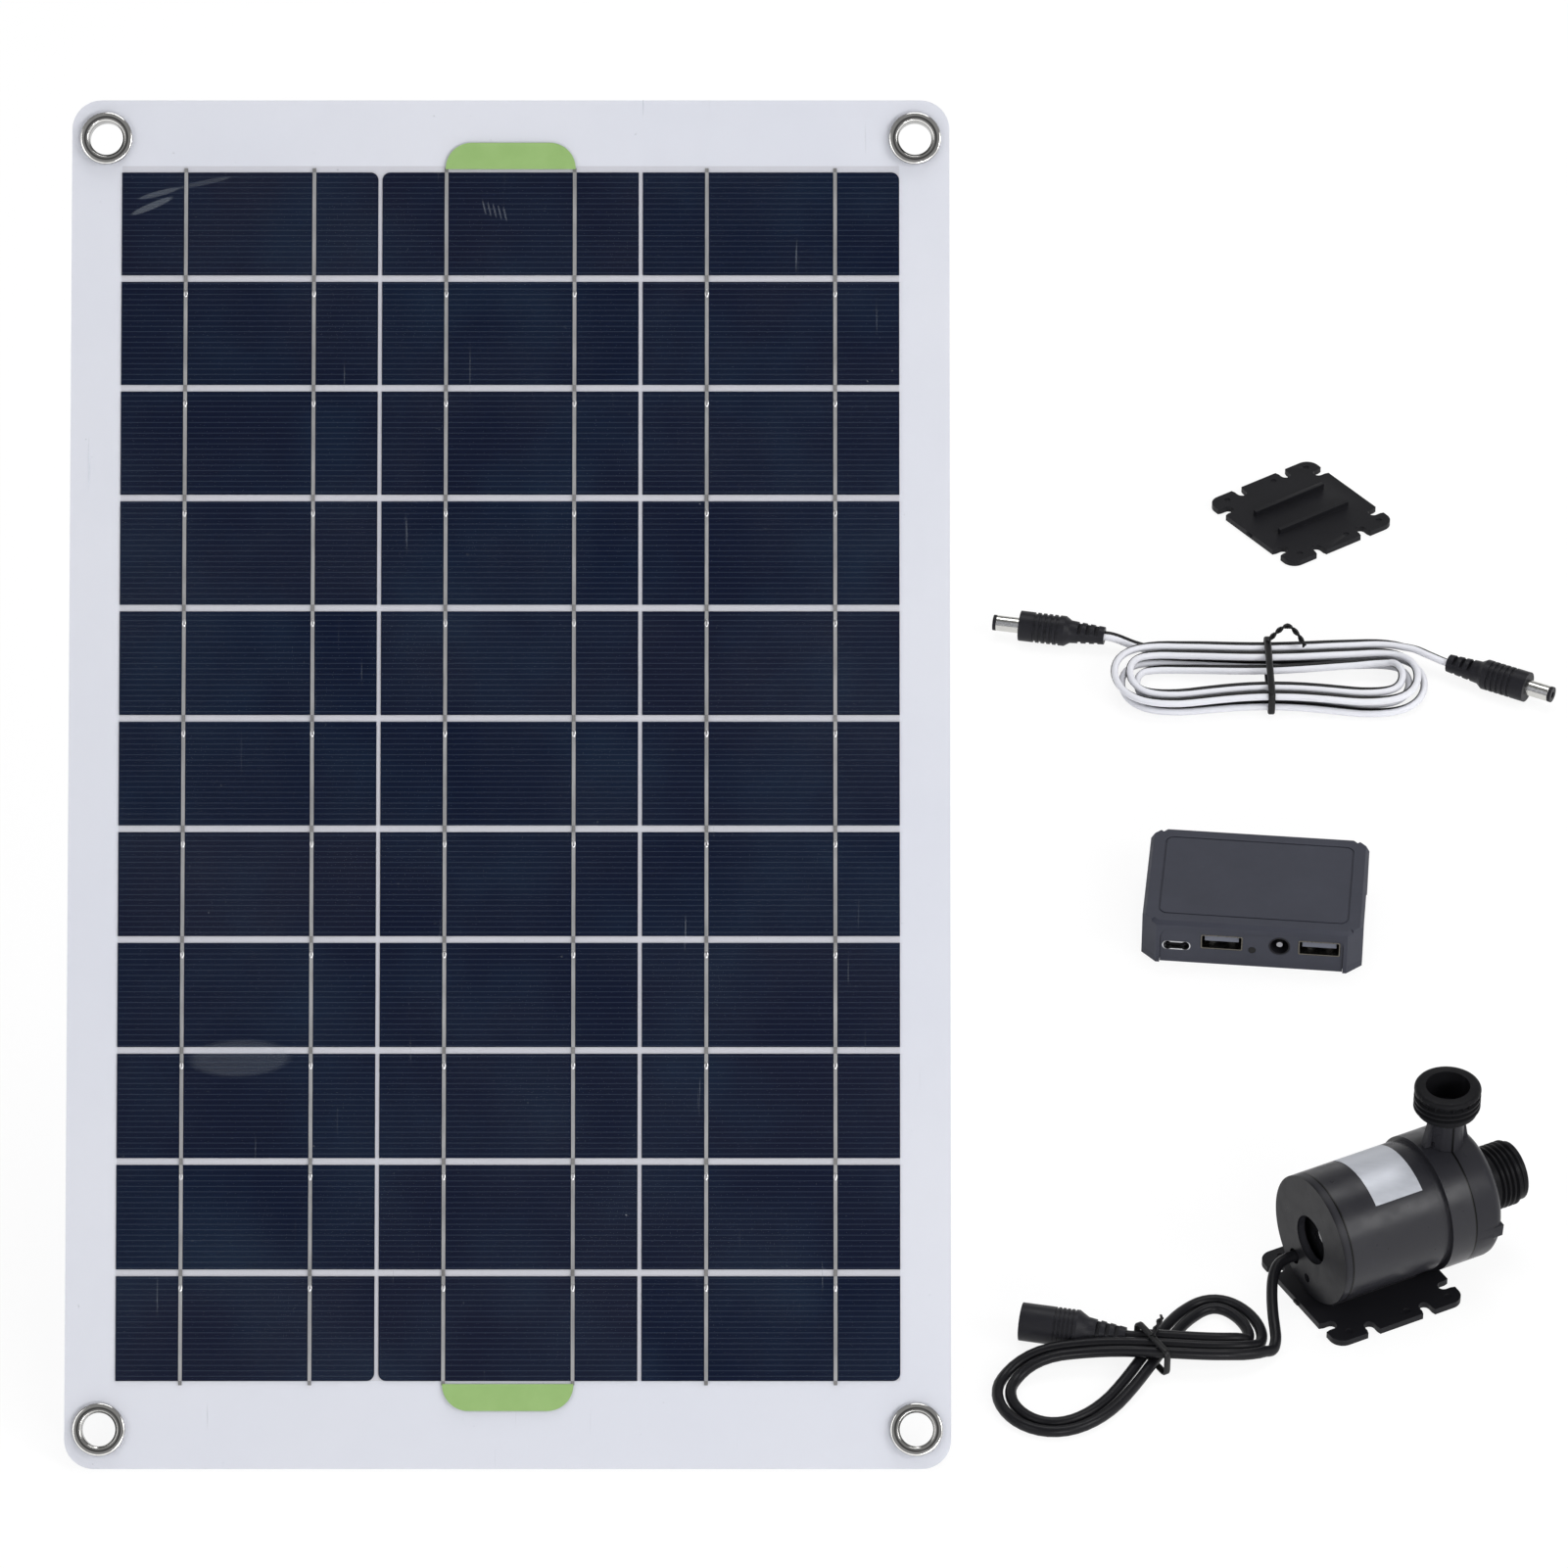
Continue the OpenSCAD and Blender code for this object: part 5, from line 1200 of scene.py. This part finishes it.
def band_rings(solid, place, loop):
    rings = []
    for k, (y, z) in enumerate(loop):
        (y0, z0), (y1, z1) = loop[k - 1], loop[(k + 1) % len(loop)]
        out = Vector((z1 - z0, -(y1 - y0))).normalized()
        points = [Vector((x, y + out.x * r, z + out.y * r)) for x, r in TIE_SECTION]
        rings.append([solid.verts.new(place @ (p * MM)) for p in points])
    return rings


def tail_rings(solid, place, path, phase):
    rings = []
    gone = 0.0
    for k, at in enumerate(path):
        gone += (at - path[max(k - 1, 0)]).length
        side, up = across_and_up(path, k)
        turn = phase + gone * TAIL_TWIST
        middle = at + (side * math.cos(turn) + up * math.sin(turn)) * TAIL_WIRE
        spokes = [turn + j * 2 * math.pi / TAIL_SIDES for j in range(TAIL_SIDES)]
        points = [middle + (side * math.cos(b) + up * math.sin(b)) * TAIL_WIRE for b in spokes]
        rings.append([solid.verts.new(place @ (p * MM)) for p in points])
    return rings


def tie_piece(name, node, place, low, high, top, tail):
    """A band round a bundle. tail: points of its twisted ends, whose heights count from the band's top."""
    solid = bmesh.new()
    skin(solid, band_rings(solid, place, tie_loop(low, high, top)), loop=True)
    path = through([Vector((x, y, top + z)) for x, y, z in tail], 8)
    for phase in (0, math.pi):
        skin(solid, tail_rings(solid, place, path, phase))
    return built(name, solid, "black", tie_plastic, stands_for=[node])

# %% Ties
TIE_ROOM = 0.4
LEAD_TOP = 8.7
LEAD_TAIL = [(0, -1, 0.9), (3.6, 1.5, 3.6), (7.2, 2.2, 5.2), (10.4, -0.4, 3.4), (12.6, -4.2, 1.2)]
CORD_TOP = TIE_T + CORD_D + CORD_STEP + TIE_ROOM
CORD_TAIL = [(0, 0, 0.9), (2.6, 2.2, 1.6), (5.4, 4.4, 2.0), (6.8, 5.6, 1.7)]

waist = BUNDLE_WIDE * (1 - BUNDLE_WAIST)
edge = LEAD_W / 2 + TIE_ROOM
lead_tie = tie_piece(
    "lead_tie_band", "lead_tie", Matrix.Translation(Vector((*LEAD_AT, 0)) * MM),
    -waist + LEAD_STEP / 2 - edge, waist + edge, LEAD_TOP, [(x, waist + y, z) for x, y, z in LEAD_TAIL],
)
slant = Vector((-EIGHT_LONG, EIGHT_WIDE)).normalized()
reach = (CORD_STEP + CORD_D / 2 + TIE_W / 2 * abs(slant.y)) / abs(slant.x) + TIE_ROOM
cord_tie = tie_piece(
    "cord_tie_band", "cord_tie",
    Matrix.Translation(Vector((*CORD_AT, 0)) * MM) @ Matrix.Rotation(CORD_TURN, 4, "Z"),
    -reach, reach, CORD_TOP, CORD_TAIL,
)

# %% [markdown]
# ## Facts about the cords
# A cord is known by its length, its diameter and what is on its ends. Their lengths are measured from
# the paths above, and here the number of points on each path is printed.

print("cords declared, with", len(pump_path), "and", len(twin_path), "points")

# %% [markdown]
# ## Floor and light
# A product picture on white has almost no shadow: the floor is as bright as the backdrop. To the camera,
# to reflections and through clear pieces the floor is mostly its own white, and only a part of it takes
# shade, so a soft shadow still grounds each piece. A white wall all round gives way to a darker ceiling,
# so that dark shiny pieces are not washed out.

# %% Floor
FLOOR_REACH, FLOOR_DROP = 8.0, 0.2 * MM
FLOOR_GLOW, FLOOR_SHARE = 1.05, 0.84


def sees_backdrop(tree):
    """1 for a ray from the camera, off a shiny surface or through a clear one, and 0 for light itself."""
    path = add(tree, "ShaderNodeLightPath")
    rays = path.outputs["Is Camera Ray"]
    for kind in ("Is Glossy Ray", "Is Transmission Ray"):
        rays = maths("MAXIMUM", rays, path.outputs[kind])
    return rays


def floor_finish():
    material = bpy.data.materials.new("floor_white")
    material.use_nodes = True
    tree = material.node_tree
    tree.nodes.clear()
    matt = add(tree, "ShaderNodeBsdfDiffuse", Color=(0.94, 0.94, 0.94, 1))
    bright = add(tree, "ShaderNodeEmission", Color=(1, 1, 1, 1), Strength=FLOOR_GLOW)
    mix = add(tree, "ShaderNodeMixShader", Fac=maths("MULTIPLY", sees_backdrop(tree), FLOOR_SHARE))
    give(mix.inputs[1], matt.outputs[0])
    give(mix.inputs[2], bright.outputs[0])
    add(tree, "ShaderNodeOutputMaterial", Surface=mix.outputs[0])
    return material


floor_mesh = bpy.data.meshes.new("floor")
corners = [(-1, -1), (1, -1), (1, 1), (-1, 1)]
floor_mesh.from_pydata([(FLOOR_REACH * x, FLOOR_REACH * y, 0) for x, y in corners], [], [(0, 1, 2, 3)])
floor_mesh.materials.append(floor_finish())
floor = bpy.data.objects.new("floor", floor_mesh)
floor.location.z = -FLOOR_DROP
scene.collection.objects.link(floor)
print("floor reaches", FLOOR_REACH, "m each way")

# %% World and lamps
# Sine of the angle above the horizon at which the white wall ends and the dark ceiling starts
WALL_END, CEILING_START = 0.15, 0.5
WALL_WHITE, CEILING_GREY, ROOM_LIGHT = 1.02, 0.2, 0.4
MIDDLE = (-0.15, 0.2, 0.05)

world = bpy.data.worlds.new("studio")
scene.world = world
world.use_nodes = True
tree = world.node_tree
height = parts_of(own_coords(tree))[2]
room = remap(height, WALL_END, CEILING_START, WALL_WHITE, CEILING_GREY)
seen = maths("MULTIPLY", maths("SUBTRACT", room, ROOM_LIGHT), sees_backdrop(tree))
fill(tree.nodes["Background"], Color=(1, 1, 1, 1), Strength=maths("ADD", seen, ROOM_LIGHT))

for name, at, size, watts in (
    ("key", (1.8, -1.0, 1.5), (1.3, 1.0), 20),
    ("front", (0.5, -2.1, 0.75), (0.9, 0.5), 14),
    ("fill", (-1.6, -1.2, 1.4), (1.2, 1.2), 7),
    ("top", (0.1, 0.9, 2.1), (1.4, 0.9), 14),
):
    light = bpy.data.lights.new(name, "AREA")
    light.shape = "RECTANGLE"
    light.size, light.size_y = size
    light.energy = watts
    aimed(name, light, at, MIDDLE)
print("lamps", len(bpy.data.lights))
